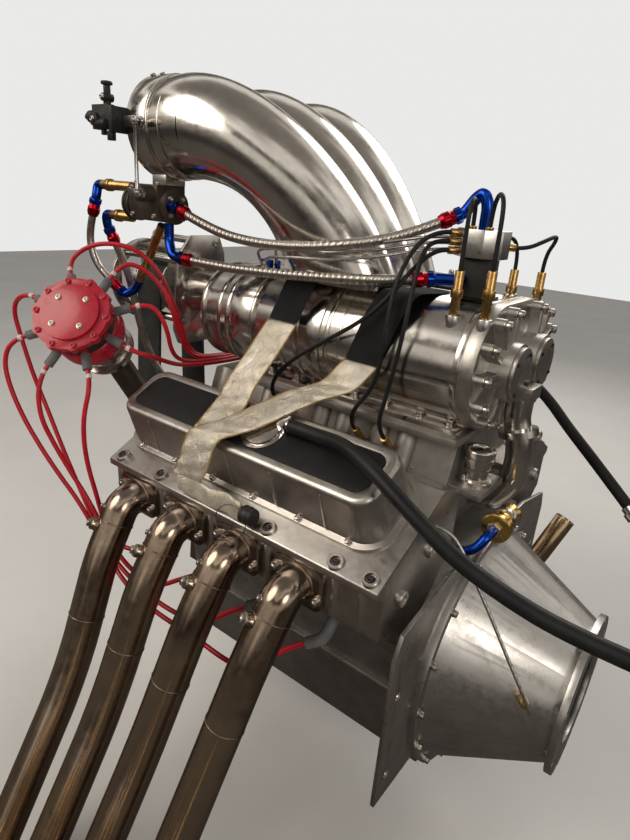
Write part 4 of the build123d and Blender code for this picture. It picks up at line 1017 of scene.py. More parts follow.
LEADS_RIGHT = [
    [(-552, -252, 438), (-560, -214, 420), (-577, -172, 404), (-585, -120, 394), (-583, -50, 390),
     (-586, 20, 388), (-583, 95, 389), (-586, 165, 382), (-584, 225, 352), (-586, 280, 306),
     (-584, 325, 250), (-585, 352, 190), (-576, 351, 146), (-553, 345, 107)],
    [(-570, -222, 508), (-562, -212, 474), (-569, -200, 440), (-586, -170, 412), (-597, -120, 397),
     (-595, -50, 392), (-598, 20, 390), (-595, 95, 391), (-598, 168, 386), (-596, 232, 356),
     (-598, 290, 308), (-596, 337, 250), (-597, 362, 186), (-574, 360, 124), (-532, 354, 84),
     (-480, 347, 70), (-430, 344, 76)],
    [(-650, -216, 582), (-622, -196, 564), (-600, -180, 528), (-592, -170, 484), (-597, -150, 440),
     (-608, -115, 403), (-607, -45, 393), (-610, 25, 391), (-607, 98, 392), (-610, 172, 389),
     (-608, 238, 360), (-610, 298, 310), (-608, 348, 248), (-609, 372, 180), (-584, 368, 112),
     (-536, 360, 66), (-480, 354, 53), (-420, 356, 51), (-360, 354, 55), (-312, 349, 66)],
    [(-738, -258, 598), (-706, -236, 612), (-660, -205, 608), (-630, -178, 574), (-614, -160, 524),
     (-612, -142, 470), (-617, -120, 424), (-620, -90, 398), (-619, -30, 392), (-622, 35, 391),
     (-619, 104, 392), (-622, 178, 389), (-620, 244, 362), (-622, 304, 312), (-620, 356, 248),
     (-621, 382, 172), (-594, 377, 98), (-540, 366, 47), (-480, 360, 36), (-400, 361, 33),
     (-320, 359, 39), (-240, 361, 34), (-200, 354, 49)],
]


@dataclass(frozen=True)
class Hose:
    """A free hose, line or lead between two fittings.

    Attributes:
        name: the piece's name.
        node: the CAD node that it stands for.
        diameter: in millimetres.
        length: in millimetres; not used.
        finish: its cover.
        points: the route's points, in millimetres.
    """

    name: str
    node: str
    diameter: float
    length: float
    finish: Finish
    points: Route
    stiffness: str = "medium"
    lay: str = "loose"

    def build(self) -> Object:
        """Returns:
            The curve object.
        """
        piece = Bench.line(self.name, self.points, self.diameter / 2, 6)
        Bench.dress(piece, self.finish, Body.ENGINE, [self.node])
        Bench.point(self.points[0])
        return piece


@dataclass
class Plumbing:
    """The free hoses and lines: fuel, breathers, pressure line and the small hoses of the block."""

    hose_d: float = 15.0
    return_d: float = 14.0
    breather_d: float = 20.0
    nozzle_d: float = 6.0
    port_d: float = 6.5
    line_d: float = 5.0
    pressure_length: float = 327.0
    upper: Route = (
        (-540, -186, 672), (-470, -190, 652), (-388, -191, 643), (-300, -184, 645), (-232, -150, 656),
        (-180, -94, 672), (-143, -62, 694))
    lower: Route = (
        (-540, -176, 598), (-470, -174, 596), (-380, -172, 599), (-290, -168, 604), (-215, -158, 610),
        (-178, -140, 613), (-150, -112, 616))
    returning: Route = (
        (-818, -182, 652), (-826.7, -184, 625.4), (-827.7, -184.5, 597.4), (-821, -182, 570),
        (-806, -176, 546.5), (-784.7, -168, 528.5))
    feed: Route = (
        (-783, -158, 602), (-779, -140, 560), (-778, -126, 508), (-776, -116, 452), (-770, -102, 392),
        (-756, -80, 332), (-734, -54, 282), (-708, -32, 244))
    breather_left: Route = (
        (-228, -267.6, 410.4), (-178, -267.6, 410.4), (-122, -282, 419), (-62, -304, 408), (0, -318, 382),
        (60, -321, 352), (120, -320, 334), (185, -319, 323), (250, -318, 324))
    breather_right: Route = (
        (-228, 267.6, 410.4), (-178, 267.6, 410.4), (-120, 276, 417), (-66, 280, 408), (-22, 276, 378),
        (20, 264, 343), (86, 238, 300), (160, 214, 246))
    pressure: Route = (
        (-22, -186, 300), (0, -186, 300), (22, -187, 280), (44, -185, 244), (76, -184, 198),
        (106, -184, 152), (138, -184, 106), (153.7, -176.6, 69.9), (149.1, -168.3, 66.6))
    nozzles: tuple[tuple[str, float, Route], ...] = (
        ("nozzle_hose_far_front", 113.0, (
            (-84, 9, 668), (-84, 27, 668), (-83, 50, 680), (-78, 74, 676), (-74, 84, 654), (-74, 84, 631))),
        ("nozzle_hose_far_rear", 160.0, (
            (-49.35, -5.35, 668), (-36, 8, 668), (-20, 32, 680), (-14, 62, 688), (-22, 88, 678),
            (-36, 100, 656), (-36, 100, 631))),
        ("nozzle_hose_near_front", 151.0, (
            (-92, -64, 694), (-92, -64, 713.7), (-88.5, -77.5, 727.8), (-83.5, -96.5, 727.8),
            (-80.4, -108.6, 713.7), (-80, -110, 675.4), (-80, -110, 637))),
        ("nozzle_hose_near_rear", 167.0, (
            (-68, -62, 694), (-68, -62, 718.2), (-58.3, -76.1, 735.4), (-44.7, -95.9, 735.4),
            (-36, -108.6, 718.2), (-35, -110, 680.1), (-35, -110, 642))),
    )
    ports: tuple[tuple[str, float, Route], ...] = (
        ("port_hose_front", 419.0, (
            (-118.65, -74.65, 659), (-130, -86, 659), (-142, -122, 636), (-157, -150, 598),
            (-186, -164, 560), (-238, -164, 524), (-296, -166, 486), (-338, -172, 448),
            (-350, -175.8, 411.1), (-350, -150.2, 386.2))),
        ("port_hose_middle", 364.0, (
            (-118.65, -74.65, 683), (-131, -87, 683), (-149, -116, 664), (-155, -148, 614),
            (-152, -164, 560), (-152, -167, 508), (-160, -168, 462), (-195, -175.8, 411.1),
            (-195, -150.2, 386.2))),
        ("port_hose_rear", 342.0, (
            (-118.65, -74.65, 671), (-134, -90, 671), (-136, -117, 655), (-128, -146, 612),
            (-124, -162, 564), (-128, -166, 514), (-135, -170, 460), (-142, -175.8, 411.1),
            (-142, -150.2, 386.2))),
    )

    def braid(self, name: str, length: float, diameter: float) -> Braid:
        """The woven cover of one hose, drawn to its own length."""
        # The second colour is the painted shade between the braid's strands.
        return Braid(name, "hose_braid", (0.6, 0.56, 0.51), (0.05, 0.045, 0.04), rough=(0.24, 0.36),
                     relief=0.0012, length=length * MM, diameter=diameter * MM, strands=12)

    def hoses(self) -> None:
        """Every hose and line, as a round tube along a curve."""
        for name, length, diameter, points, stiffness in (
                ("fuel_hose_upper", 450.0, self.hose_d, self.upper, "stiff"),
                ("fuel_hose_lower", 407.0, self.hose_d, self.lower, "stiff"),
                ("return_hose", 141.0, self.return_d, self.returning, "stiff"),
                ("feed_hose", 395.0, self.hose_d, self.feed, "stiff")):
            cover = self.braid(f"{name}_braid", length, diameter)
            Hose(f"{name}_braided", name, diameter, length, cover, points, stiffness, "taut").build()
        for side, length, points in (("left", 501.0, self.breather_left),
                                     ("right", 449.0, self.breather_right)):
            Hose(f"breather_hose_{side}_rubber", f"breather_hose_{side}", self.breather_d, length, RUBBER,
                 points).build()
        # The second colour is the painted shade between the braid's strands.
        cover = Braid("pressure_line_braid", "steel", (0.62, 0.61, 0.6), (0.14, 0.13, 0.12),
                      rough=(0.28, 0.4), relief=0.0003, length=self.pressure_length * MM,
                      diameter=self.line_d * MM, strands=8)
        Hose("pressure_line_braided", "pressure_line", self.line_d, self.pressure_length, cover,
             self.pressure, "medium", "hanging").build()
        for name, length, points in self.nozzles:
            Hose(name, "nozzle_hoses", self.nozzle_d, length, RUBBER, points).build()
        for name, length, points in self.ports:
            Hose(name, "port_hoses", self.port_d, length, RUBBER, points, "medium", "hanging").build()


@dataclass
class Ignition:
    """The eight leads, from the boots on the distributor's cap to the boots on the plugs."""

    centre: Triple = (-657.0, -337.0, 504.0)
    axis: Triple = (0.42, -0.69, 0.585)
    level: Triple = (-0.854, -0.520, 0.0)
    leads: int = 8
    first_tower: float = 22.5
    tower_pitch: float = 45.0
    tower_deep: float = 33.0
    boot_r: float = 92.0
    lead_run: float = 28.0
    lead_d: float = 8.0
    plug_x: tuple[float, ...] = (-461.0, -343.0, -226.0, -109.0)
    plug_seat: tuple[float, float] = (285.0, 161.3)
    plug_out: float = 0.647
    plug_down: float = 0.763
    boot_runs: Triple = (38.0, 28.0, 36.0)
    boot_way: Triple = (-0.8, 0.36, -0.48)
    routes: dict[str, Sequence[Route]] = field(
        default_factory=lambda: {"left": LEADS_LEFT, "right": LEADS_RIGHT})
    starts: dict[str, tuple[int, ...]] = field(
        default_factory=lambda: {"left": (2, 1, 0, 7), "right": (3, 4, 5, 6)})
    lengths: dict[str, tuple[float, ...]] = field(default_factory=lambda: {
        "left": (401.0, 565.0, 800.0, 1054.0), "right": (926.0, 1103.0, 1315.0, 1583.0)})

    def frame(self) -> tuple[Vector, Vector, Vector, Vector]:
        """The cap's centre, axis and the two directions across it, in millimetres."""
        axis = Vector(self.axis).normalized()
        across = Vector(self.level).normalized()
        return Vector(self.centre), axis, across, axis.cross(across)

    def tower(self, index: int) -> tuple[Vector, Vector]:
        """The end of one boot on the cap, and the way out along it."""
        centre, axis, across, up = self.frame()
        angle = radians(self.first_tower + self.tower_pitch * index)
        out = across * cos(angle) + up * sin(angle)
        return centre - axis * self.tower_deep + out * self.boot_r, out

    def plug(self, x: float, side: int) -> tuple[Vector, Vector]:
        """The end of a spark plug's boot, and the way out along it."""
        bend = Vector((self.boot_way[0], side * self.boot_way[1], self.boot_way[2]))
        seat = Vector((x, side * self.plug_seat[0], self.plug_seat[1]))
        knee = seat + Vector((0, side * self.plug_out, -self.plug_down)) * self.boot_runs[0]
        return knee + bend * self.boot_runs[1], bend

    def cords(self) -> None:
        """The eight leads."""
        for side, sign in SIDES:
            for number, (x, start, points, length) in enumerate(zip(
                    self.plug_x, self.starts[side], self.routes[side], self.lengths[side]), 1):
                end, out = self.tower(start)
                plug, way = self.plug(x, sign)
                whole = (tuple(end), tuple(end + out * self.lead_run), *points,
                         tuple(plug + way * self.boot_runs[2]), tuple(plug))
                Hose(f"lead_{side}_{number}", f"spark_leads_{side}", self.lead_d, length, LEAD_RED,
                     whole).build()


@dataclass
class CoverDress:
    """Black top panels, rail bolts and side ribs of the valve covers, and the heads' rear bosses."""

    centre: Triple = (-308.0, 237.75, 318.1)
    panel: Triple = (466.0, 71.0, 19.0)
    panel_low: float = 80.8
    panel_t: float = 0.9
    width: float = 141.0
    lip_t: float = 8.0
    rail_inset: float = 4.6
    bolts_x: tuple[float, ...] = (-215.0, -130.0, -43.0, 43.0, 130.0, 215.0)
    ribs_x: tuple[float, ...] = (-176.0, -88.0, 0.0, 88.0, 176.0)
    rib: Triple = (5.0, 2.4, 62.0)
    rib_inset: float = 14.2
    rib_up: float = 33.0
    rib_lean: float = radians(8)
    rib_taper: Triple = (0.5, 0.6, 1.0)
    boss_x: float = -22.0
    bosses: Profile = ((196.0, 268.0), (268.0, 226.0), (232.0, 318.0))
    boss: Profile = ((0.0, 13.0), (5.0, 12.0), (6.5, 10.5), (6.5, 6.5), (4.5, 6.0), (4.5, 0.0))

    def seat(self, side: int) -> Matrix:
        """The cover's own frame: X along the engine, Z out of the cover's top."""
        up = Vector((0, side * sin(BANK_TILT), cos(BANK_TILT)))
        along = Vector((1, 0, 0))
        turn = Matrix((along, up.cross(along), up)).transposed().to_4x4()
        x, y, z = self.centre
        return Matrix.Translation(Bench.point((x, side * y, z))) @ turn

    def top_panel(self, side_name: str, side: int) -> None:
        """The recessed panel with rounded corners."""
        length, width, corner = self.panel
        Bench.clear()
        bpy.ops.mesh.primitive_plane_add(size=1.0)
        piece = bpy.context.object
        piece.name = f"cover_panel_{side_name}"
        piece.scale = (length * MM, width * MM, 1.0)
        Bench.settle(piece)
        Bench.edit(piece)
        bpy.ops.mesh.bevel(offset=corner * MM, segments=8, affect="VERTICES")
        Bench.extrude((0, 0, self.panel_t))
        piece.data.transform(self.seat(side) @ Matrix.Translation((0, 0, self.panel_low * MM)))
        Bench.soften(piece, 0.0003)
        Bench.dress(piece, PANEL_BLACK)

    def rail_bolts(self, side_name: str, side: int) -> None:
        """Bolts along both rails of a cover."""
        seat = self.seat(side)
        axis = seat.to_3x3() @ Vector(UP)
        half = self.width / 2 - self.rail_inset
        places = [(seat @ Vector((x * MM, row * half * MM, self.lip_t * MM)) / MM, axis)
                  for x in self.bolts_x for row in BOTH]
        Bolt(Head.TWELVE, 4.2, 4.5).spread(f"cover_bolts_{side_name}", places)

    def side_ribs(self, side_name: str, side: int) -> None:
        """Shallow cast ribs that run up the outer side of a cover."""
        deep, proud, tall = self.rib
        ribs = []
        for x in self.ribs_x:
            Bench.clear()
            bpy.ops.mesh.primitive_cube_add(size=1.0)
            rib = bpy.context.object
            rib.scale = (deep * MM, proud * 2 * MM, tall * MM)
            rib.rotation_euler = (side * self.rib_lean, 0, 0)
            out = self.width / 2 - self.rib_inset
            rib.location = Bench.point((x, side * out, self.lip_t + self.rib_up))
            Bench.settle(rib)
            Bench.edit(rib, "DESELECT")
            Bench.facing(rib, UP, 0.8)
            bpy.ops.transform.resize(value=self.rib_taper)
            Bench.done()
            rib.data.transform(self.seat(side))
            ribs.append(rib)
        piece = Bench.join(f"cover_ribs_{side_name}", ribs)
        Bench.soften(piece, 0.0011)
        Bench.dress(piece, COVER_CAST)

    def head_bosses(self, side_name: str, side: int) -> None:
        """Round bosses on a head's rear end."""
        bosses = [Bench.lathe("boss", self.boss, (self.boss_x, side * y, z), REARWARD, 24)
                  for y, z in self.bosses]
        piece = Bench.join(f"head_bosses_{side_name}", bosses)
        Bench.smooth(piece)
        Bench.dress(piece, COVER_CAST)

    def build(self) -> None:
        """Dresses both banks."""
        for side_name, side in SIDES:
            self.top_panel(side_name, side)
            self.rail_bolts(side_name, side)
            self.side_ribs(side_name, side)
            self.head_bosses(side_name, side)


@dataclass
class BlowerDress:
    """Bands, nozzle seats and bolts of the blower, its covers, its foot and its drive.

    A band's row is its two ends and its radius; a nozzle seat's row is its x, its y and its top.
    """

    axis_z: float = 502.0
    half: float = 51.0
    bands: Route = (
        (-559.5, -552.0, 88.4), (-520.0, -512.0, 87.6), (-494.0, -486.0, 92.2), (-434.0, -428.0, 92.4),
        (-372.0, -366.0, 90.6), (-338.0, -330.0, 90.6), (-274.0, -266.0, 92.6), (-248.0, -244.0, 92.0),
        (-56.0, -47.0, 92.8))
    rear_bolt_r: float = 82.0
    rear_bolt_x: float = -11.0
    cap_bolt_r: float = 32.0
    cap_face_x: float = 11.0
    cap_bolt_angles: tuple[float, ...] = (35.0, 125.0, 215.0, 305.0)
    foot_bolts_x: tuple[float, ...] = (-412.0, -352.0, -292.0, -232.0, -172.0, -112.0, -62.0)
    foot_bolt_y: float = 103.0
    foot_top: float = 417.0
    posts: Profile = ((-46.0, 571.0), (-46.0, 449.0), (46.0, 449.0), (38.0, 606.0))
    plate_rear_x: float = -711.0
    outboard_front_x: float = -906.0
    gear_bolt_x: float = -560.0
    gear_bolt_r: float = 72.0
    seats: Route = ((-80.0, -110.0, 578.0), (-35.0, -110.0, 580.0), (-74.0, 84.0, 594.0),
                    (-36.0, 100.0, 587.0))
    seat_r: float = 10.5
    seat_foot: float = 558.0

    def band(self, x0: float, x1: float, radius: float) -> Object:
        """A raised band round the long rounded section, from one x to another."""
        Bench.clear()
        bpy.ops.mesh.primitive_circle_add(vertices=64, radius=radius * MM, fill_type="NGON",
                                          rotation=(0, pi / 2, 0), location=(0, 0, 0))
        piece = bpy.context.object
        Bench.settle(piece)
        for point in piece.data.vertices:
            if abs(point.co.y) > 0.0001:
                point.co.y += (1 if point.co.y > 0 else -1) * self.half * MM
        piece.data.transform(Matrix.Translation(Bench.point((x0, 0, self.axis_z))))
        Bench.edit(piece)
        Bench.extrude((x1 - x0, 0, 0))
        return piece

    def round_axes(self, x: float, radius: float, angles: Iterable[float], way: Triple) -> list[Place]:
        """Places round both rotors' axes, mirrored from side to side, at angles in degrees."""
        return [((x, side * (self.half + radius * sin(a)), self.axis_z + radius * cos(a)), way)
                for side in BOTH for a in map(radians, angles)]

    def build(self) -> None:
        """Adds the bands, the seats and every bolt."""
        piece = Bench.join("blower_bands", [self.band(*row) for row in self.bands])
        Bench.soften(piece, 0.0007)
        Bench.dress(piece, POLISHED)
        rear = self.round_axes(self.rear_bolt_x, self.rear_bolt_r, range(0, 181, 30), REARWARD)
        Bolt(Head.TWELVE, 6.6, 7.5).spread("rear_cover_bolts", rear)
        caps = [((self.cap_face_x, side * self.half + self.cap_bolt_r * sin(a),
                  self.axis_z + self.cap_bolt_r * cos(a)), REARWARD)
                for side in BOTH for a in map(radians, self.cap_bolt_angles)]
        Bolt(Head.SOCKET, 2.5, 1.2).spread("bearing_cap_bolts", caps, DARK_BOLT)
        seats = [Bench.rod("seat", (x, y, self.seat_foot), (x, y, top), self.seat_r, 28, 1.6)
                 for x, y, top in self.seats]
        Bench.group("nozzle_seats", seats, MACHINED)
        foot = [((x, side * self.foot_bolt_y, self.foot_top), UP)
                for x in self.foot_bolts_x for side in BOTH]
        Bolt(Head.TWELVE, 5.6, 8.0).spread("foot_nuts", foot)
        plate = [((self.plate_rear_x, y, z), REARWARD) for y, z in self.posts]
        plate += [((self.outboard_front_x, y, z), FORWARD) for y, z in self.posts[3:]]
        Bolt(Head.SOCKET, 5.4, 2.4).spread("drive_plate_bolts", plate)
        gear = self.round_axes(self.gear_bolt_x, self.gear_bolt_r, (30, 90, 150), FORWARD)
        Bolt(Head.SOCKET, 4.6, 4.0).spread("gear_case_bolts", gear)


@dataclass
class ManifoldDress:
    """Runners and bolts along the manifold, and the knurled relief cap on its rear shelf."""

    runners_x: tuple[float, ...] = (-526.0, -478.0, -410.0, -362.0, -292.0, -244.0, -176.0, -128.0)
    runner_top: tuple[float, float] = (92.0, 396.0)
    runner_foot: tuple[float, float] = (121.0, 318.0)
    runner_r: float = 17.0
    relief: Triple = (-19.0, -75.0, 330.0)
    relief_bolt_r: float = 19.5
    relief_flange: float = 7.0
    shelf_bolt: Triple = (-10.0, 96.0, 330.0)
    rail_x: Sequence[float] = range(-526, -105, 60)
    rail_bolt: tuple[float, float] = (112.0, 333.0)
    rail_lean: float = 0.3
    profile: Profile = (
        (0.0, 0.0), (0.0, 24.0), (6.5, 24.0), (7.6, 22.8), (7.8, 16.5), (22.0, 16.0), (23.0, 19.8),
        (27.0, 20.0), (28.0, 18.2), (33.0, 18.2), (34.0, 20.0), (36.5, 20.0), (38.0, 23.0), (44.0, 23.0),
        (45.0, 21.2), (47.5, 21.2), (48.5, 23.0), (55.0, 23.0), (57.0, 21.5), (58.0, 19.0), (58.0, 13.0),
        (55.5, 12.5), (55.5, 0.0))

    def build(self) -> None:
        """Adds the runners, the cap and the bolts."""
        (top_y, top_z), (foot_y, foot_z) = self.runner_top, self.runner_foot
        runners = [Bench.rod("runner", (x, side * top_y, top_z), (x, side * foot_y, foot_z),
                             self.runner_r, 28, 3.0)
                   for x in self.runners_x for side in BOTH]
        Bench.group("manifold_runners", runners, CAST)
        cap = Bench.lathe("relief_cap_turned", self.profile, self.relief, UP, 36)
        Bench.dress(cap, POLISHED, Body.ENGINE, ["relief_cap"])
        x, y, z = self.relief
        reach = self.relief_bolt_r
        spots = [((x + reach * cos(a), y + reach * sin(a), z + self.relief_flange), UP)
                 for a in map(radians, (45, 135, 225, 315))]
        shelf_x, shelf_y, shelf_z = self.shelf_bolt
        spots += [((shelf_x, side * shelf_y, shelf_z), UP) for side in BOTH]
        rail_y, rail_z = self.rail_bolt
        spots += [((x, side * rail_y, rail_z), (0, side * self.rail_lean, 1))
                  for x in self.rail_x for side in BOTH]
        Bolt(Head.TWELVE, 3.4, 4.0).spread("manifold_bolts", spots)


@dataclass
class IntakeDress:
    """Weld beads, studs and screws of the intake elbow and the throttle body, and the steel fuel lines.

    A bead's row is its x and how far it stands out; the flange's are its middle, half sizes and top.
    """

    pitch: float = 147.0
    mouth_z: float = 805.0
    barrel_r: float = 77.0
    beads: Profile = ((-566.0, 0.2), (-592.0, 1.2))
    bead_t: float = 1.3
    ripple: float = 0.0009
    studs_x: tuple[float, float] = (-604.0, -628.0)
    stud_r: float = 79.5
    stud_angle: float = radians(24)
    throttle_front: float = -638.0
    screw_r: float = 76.6
    blade_x: float = -621.0
    blade_screw_y: float = 26.0
    flange: tuple[float, float, float, float] = (-306.0, 100.0, 138.0, 603.0)
    inner_share: float = 0.42
    line_r: float = 2.4
    nut_tall: float = 12.0
    nut_r: float = 5.0
    lines: tuple[Route, ...] = (
        ((-119, -48, 668), (-150, -66, 668), (-190, -110, 654), (-260, -150, 640), (-340, -158, 637),
         (-398, -158, 634), (-414, -150, 622), (-412, -134, 603)),
        ((-119, -40, 660), (-152, -60, 658), (-196, -112, 643), (-264, -158, 630), (-336, -166, 627),
         (-380, -166, 622), (-396, -150, 610), (-398, -134, 603)),
        ((-119, -56, 676), (-146, -76, 676), (-186, -118, 664), (-256, -144, 651), (-320, -150, 648),
         (-368, -150, 644), (-386, -138, 630), (-386, -130, 603)))

    def build(self) -> None:
        """Adds every bead, stud, screw and line."""
        barrels = (-self.pitch, 0.0, self.pitch)
        beads = [Bench.torus(self.barrel_r + proud, self.bead_t, (x, y, self.mouth_z),
                             Matrix.Rotation(pi / 2, 4, "Y"), 72)
                 for y in barrels for x, proud in self.beads]
        Bench.weld("elbow_beads", beads, self.ripple, POLISHED)
        studs = [((x, y + self.stud_r * sin(a), self.mouth_z + self.stud_r * cos(a)), (0, sin(a), cos(a)))
                 for y in barrels for x in self.studs_x for a in (-self.stud_angle, self.stud_angle)]
        front = [((self.throttle_front, y + self.screw_r * cos(a), self.mouth_z + self.screw_r * sin(a)),
                  FORWARD)
                 for y in barrels for a in map(radians, range(30, 331, 60))]
        Bolt(Head.HEX, 4.6, 3.6).spread("throttle_studs", studs)
        Bolt(Head.SOCKET, 2.6, 2.4).spread("throttle_screws", front)
        blades = [((self.blade_x, y + shift, self.mouth_z), FORWARD)
                  for y in barrels for shift in (-self.blade_screw_y, self.blade_screw_y)]
        Bolt(Head.SOCKET, 3.0, 1.6).spread("blade_screws", blades, BOLT, Body.THROTTLE)
        x, half_x, half_y, z = self.flange
        base = [((x + end * half_x, side * y, z), UP) for end in BOTH for side in BOTH
                for y in (half_y * self.inner_share, half_y)]
        Bolt(Head.TWELVE, 4.8, 7.0).spread("elbow_flange_bolts", base)
        tubes = [Bench.pipe("line", points, self.line_r, 5) for points in self.lines]
        nuts = [Bench.rod("nut", end, (*end[:2], end[2] + self.nut_tall), self.nut_r, 6)
                for *_, end in self.lines]
        Bench.group("steel_fuel_lines", tubes, STEEL)
        Bench.group("fuel_line_nuts", nuts, BLUE)


@dataclass
class Exhaust:
    """Beads, plugged bungs, rolled ends, studs and flange nuts of the headers.

    A corner's row is outward y, z, its share of the port's lean and how far back it lies.
    """

    ports: tuple[float, ...] = (-505.0, -387.0, -270.0, -153.0)
    leans: tuple[float, ...] = (0.0, -20.0, -38.0, -42.0)
    radius: float = 28.5
    run: tuple[tuple[float, float, float, float], ...] = (
        (356.0, 212.0, 0.0, 0.0), (404.0, 126.0, 0.2, 0.0), (470.0, -64.0, 0.8, 0.0),
        (640.0, -334.0, 1.0, 10.0),
        (722.0, -366.0, 1.0, 50.0), (790.0, -280.0, 1.0, 100.0), (846.0, -130.0, 1.0, 150.0))
    flange_out: float = 327.0
    port_z: float = 216.0
    below_flange: float = 34.0
    below_knee: float = 100.0
    ripple: float = 0.0012
    bung_way: Triple = (-0.5, 0.78, 0.44)
    bung_down: float = 46.0
    bung_sunk: float = 1.5
    bung: Profile = ((0.0, 0.0), (0.0, 11.5), (2.0, 10.5), (9.0, 10.0), (10.0, 9.2), (10.0, 0.0))
    plug_up: float = 9.5
    stud_down: float = 14.0
    stud_sunk: float = 0.6
    nuts: Profile = ((-37.0, 12.0), (37.0, -12.0))

    def corner(self, port: int, side: int, index: int) -> Vector:
        """One corner of a tube's route, in millimetres."""
        out, z, share, back = self.run[index]
        return Vector((self.ports[port] + self.leans[port] * share + back, side * out, z))

    def beads(self, port: int, side: int) -> list[Object]:
        """A tube's beads, at its flange, under the flange, below its bend and round its tip."""
        top, knee, low, _, _, last, tip = (self.corner(port, side, index) for index in range(7))
        run, drop = (knee - top).normalized(), (low - knee).normalized()
        flange = (self.ports[port], side * (self.flange_out + 1.0), self.port_z)
        rows = ((flange, (0, side, 0), 2.2, 0.4), (top + run * self.below_flange, run, 1.1, 0.1),
                (knee + drop * self.below_knee, drop, 0.9, 0.1),
                (tip, (tip - last).normalized(), 1.0, -1.3))
        return [Bench.torus(self.radius + proud, thick, place, Bench.turn(way), 48)
                for place, way, thick, proud in rows]

    def build(self) -> None:
        """Adds the details of both sides."""
        for side_name, side in SIDES:
            beads, bungs, plugs, studs = [], [], [], []
            for port in range(len(self.ports)):
                beads += self.beads(port, side)
                top = self.corner(port, side, 0)
                run = (self.corner(port, side, 1) - top).normalized()
                normal = Vector((self.bung_way[0], side * self.bung_way[1], self.bung_way[2])).normalized()
                normal = (normal - run * normal.dot(run)).normalized()
                root = top + run * self.bung_down + normal * (self.radius - self.bung_sunk)
                bungs.append(Bench.lathe("bung", self.bung, root, normal, 24))
                plugs.append((root + normal * self.plug_up, normal))
                studs.append((top + run * self.stud_down + normal * (self.radius - self.stud_sunk), normal))
            nuts = [((x + shift, side * self.flange_out, self.port_z + lift), (0, side, 0))
                    for x in self.ports for shift, lift in self.nuts]
            Bench.weld(f"header_beads_{side_name}", beads, self.ripple, WELD)
            Bench.group(f"header_bungs_{side_name}", bungs, HEADER)
            Bolt(Head.HEX, 7.4, 5.0).spread(f"header_plugs_{side_name}", plugs)
            Bolt(Head.HEX, 4.6, 3.6).spread(f"header_studs_{side_name}", studs)
            Bolt(Head.TWELVE, 6.0, 7.0).spread(f"header_nuts_{side_name}", nuts)


@dataclass
class BottomDress:
    """Bolts of the clutch housing, oil pan and front cover."""

    bell_x: float = 10.0
    bell_r: float = 212.0
    bell_bolts: int = 16
    pan_x: Sequence[float] = range(-548, 0, 60)
    pan_rail: tuple[float, float] = (137.0, -68.0)
    front_x: float = -612.0
    front: Profile = ((-108, -44), (108, -44), (-106, 20), (106, 20), (-100, 84), (84, 116), (-58, 160),
                      (58, 160))

    def build(self) -> None:
        """Adds every bolt."""
        ring = [((self.bell_x, self.bell_r * cos(a), self.bell_r * sin(a)), REARWARD)
                for a in (2 * pi * i / self.bell_bolts for i in range(self.bell_bolts))]
        Bolt(Head.TWELVE, 5.6, 7.0).spread("bellhousing_bolts", ring)
        rail_y, rail_z = self.pan_rail
        pan = [((x, side * rail_y, rail_z), DOWN) for x in self.pan_x for side in BOTH]
        Bolt(Head.HEX, 4.6, 4.0).spread("pan_bolts", pan)
        front = [((self.front_x, y, z), FORWARD) for y, z in self.front]
        Bolt(Head.SOCKET, 4.6, 5.0).spread("front_cover_bolts", front)


@dataclass
class DistributorDress:
    """Screws on the cap, the turned collar and the gasket under it, and the white bands on the leads."""

    ignition: Ignition
    rim_screws: int = 10
    rim_r: float = 60.0
    plate_screws: int = 4
    plate_r: float = 34.0
    plate_up: float = 7.0
    band: Triple = (9.0, 16.0, 4.9)
    collar: Profile = (
        (-152.0, 0.0), (-152.0, 54.0), (-144.0, 54.0), (-143.0, 47.0), (-126.0, 46.4), (-125.0, 49.0),
        (-121.0, 49.0), (-120.0, 46.4), (-104.0, 46.0), (-103.0, 50.0), (-93.0, 50.0), (-92.0, 0.0))
    gasket: Profile = ((-12.5, 0.0), (-12.5, 57.5), (-45.5, 57.5), (-45.5, 0.0))

    def out(self, share: float) -> Vector:
        """The way out from the cap's axis, at a share of a full turn."""
        _, _, across, up = self.ignition.frame()
        return (across * cos(2 * pi * share) + up * sin(2 * pi * share)).normalized()

    def build(self) -> None:
        """Adds the screws, the bands, the collar and the gasket."""
        centre, axis, _, _ = self.ignition.frame()
        rim = [(centre + self.out(i / self.rim_screws) * self.rim_r, axis) for i in range(self.rim_screws)]
        Bolt(Head.SOCKET, 4.4, 2.6).spread("cap_rim_screws", rim, CAP_RED)
        rise = axis * self.plate_up
        plate = [(centre + self.out((i + 0.5) / self.plate_screws) * self.plate_r + rise, axis)
                 for i in range(self.plate_screws)]
        Bolt(Head.SOCKET, 4.0, 1.8).spread("cap_plate_screws", plate)
        start, stop, radius = self.band
        bands = [Bench.rod("band", end + out * start, end + out * stop, radius, 16, 0.4)
                 for end, out in map(self.ignition.tower, range(self.ignition.leads))]
        Bench.group("lead_bands", bands, BAND_WHITE)
        collar = Bench.lathe("distributor_collar", self.collar, centre, axis, 48)
        Bench.dress(collar, POLISHED, Body.ENGINE, ["distributor_body"])
        Bench.dress(Bench.lathe("cap_gasket", self.gasket, centre, axis, 48), DARK_CAST)


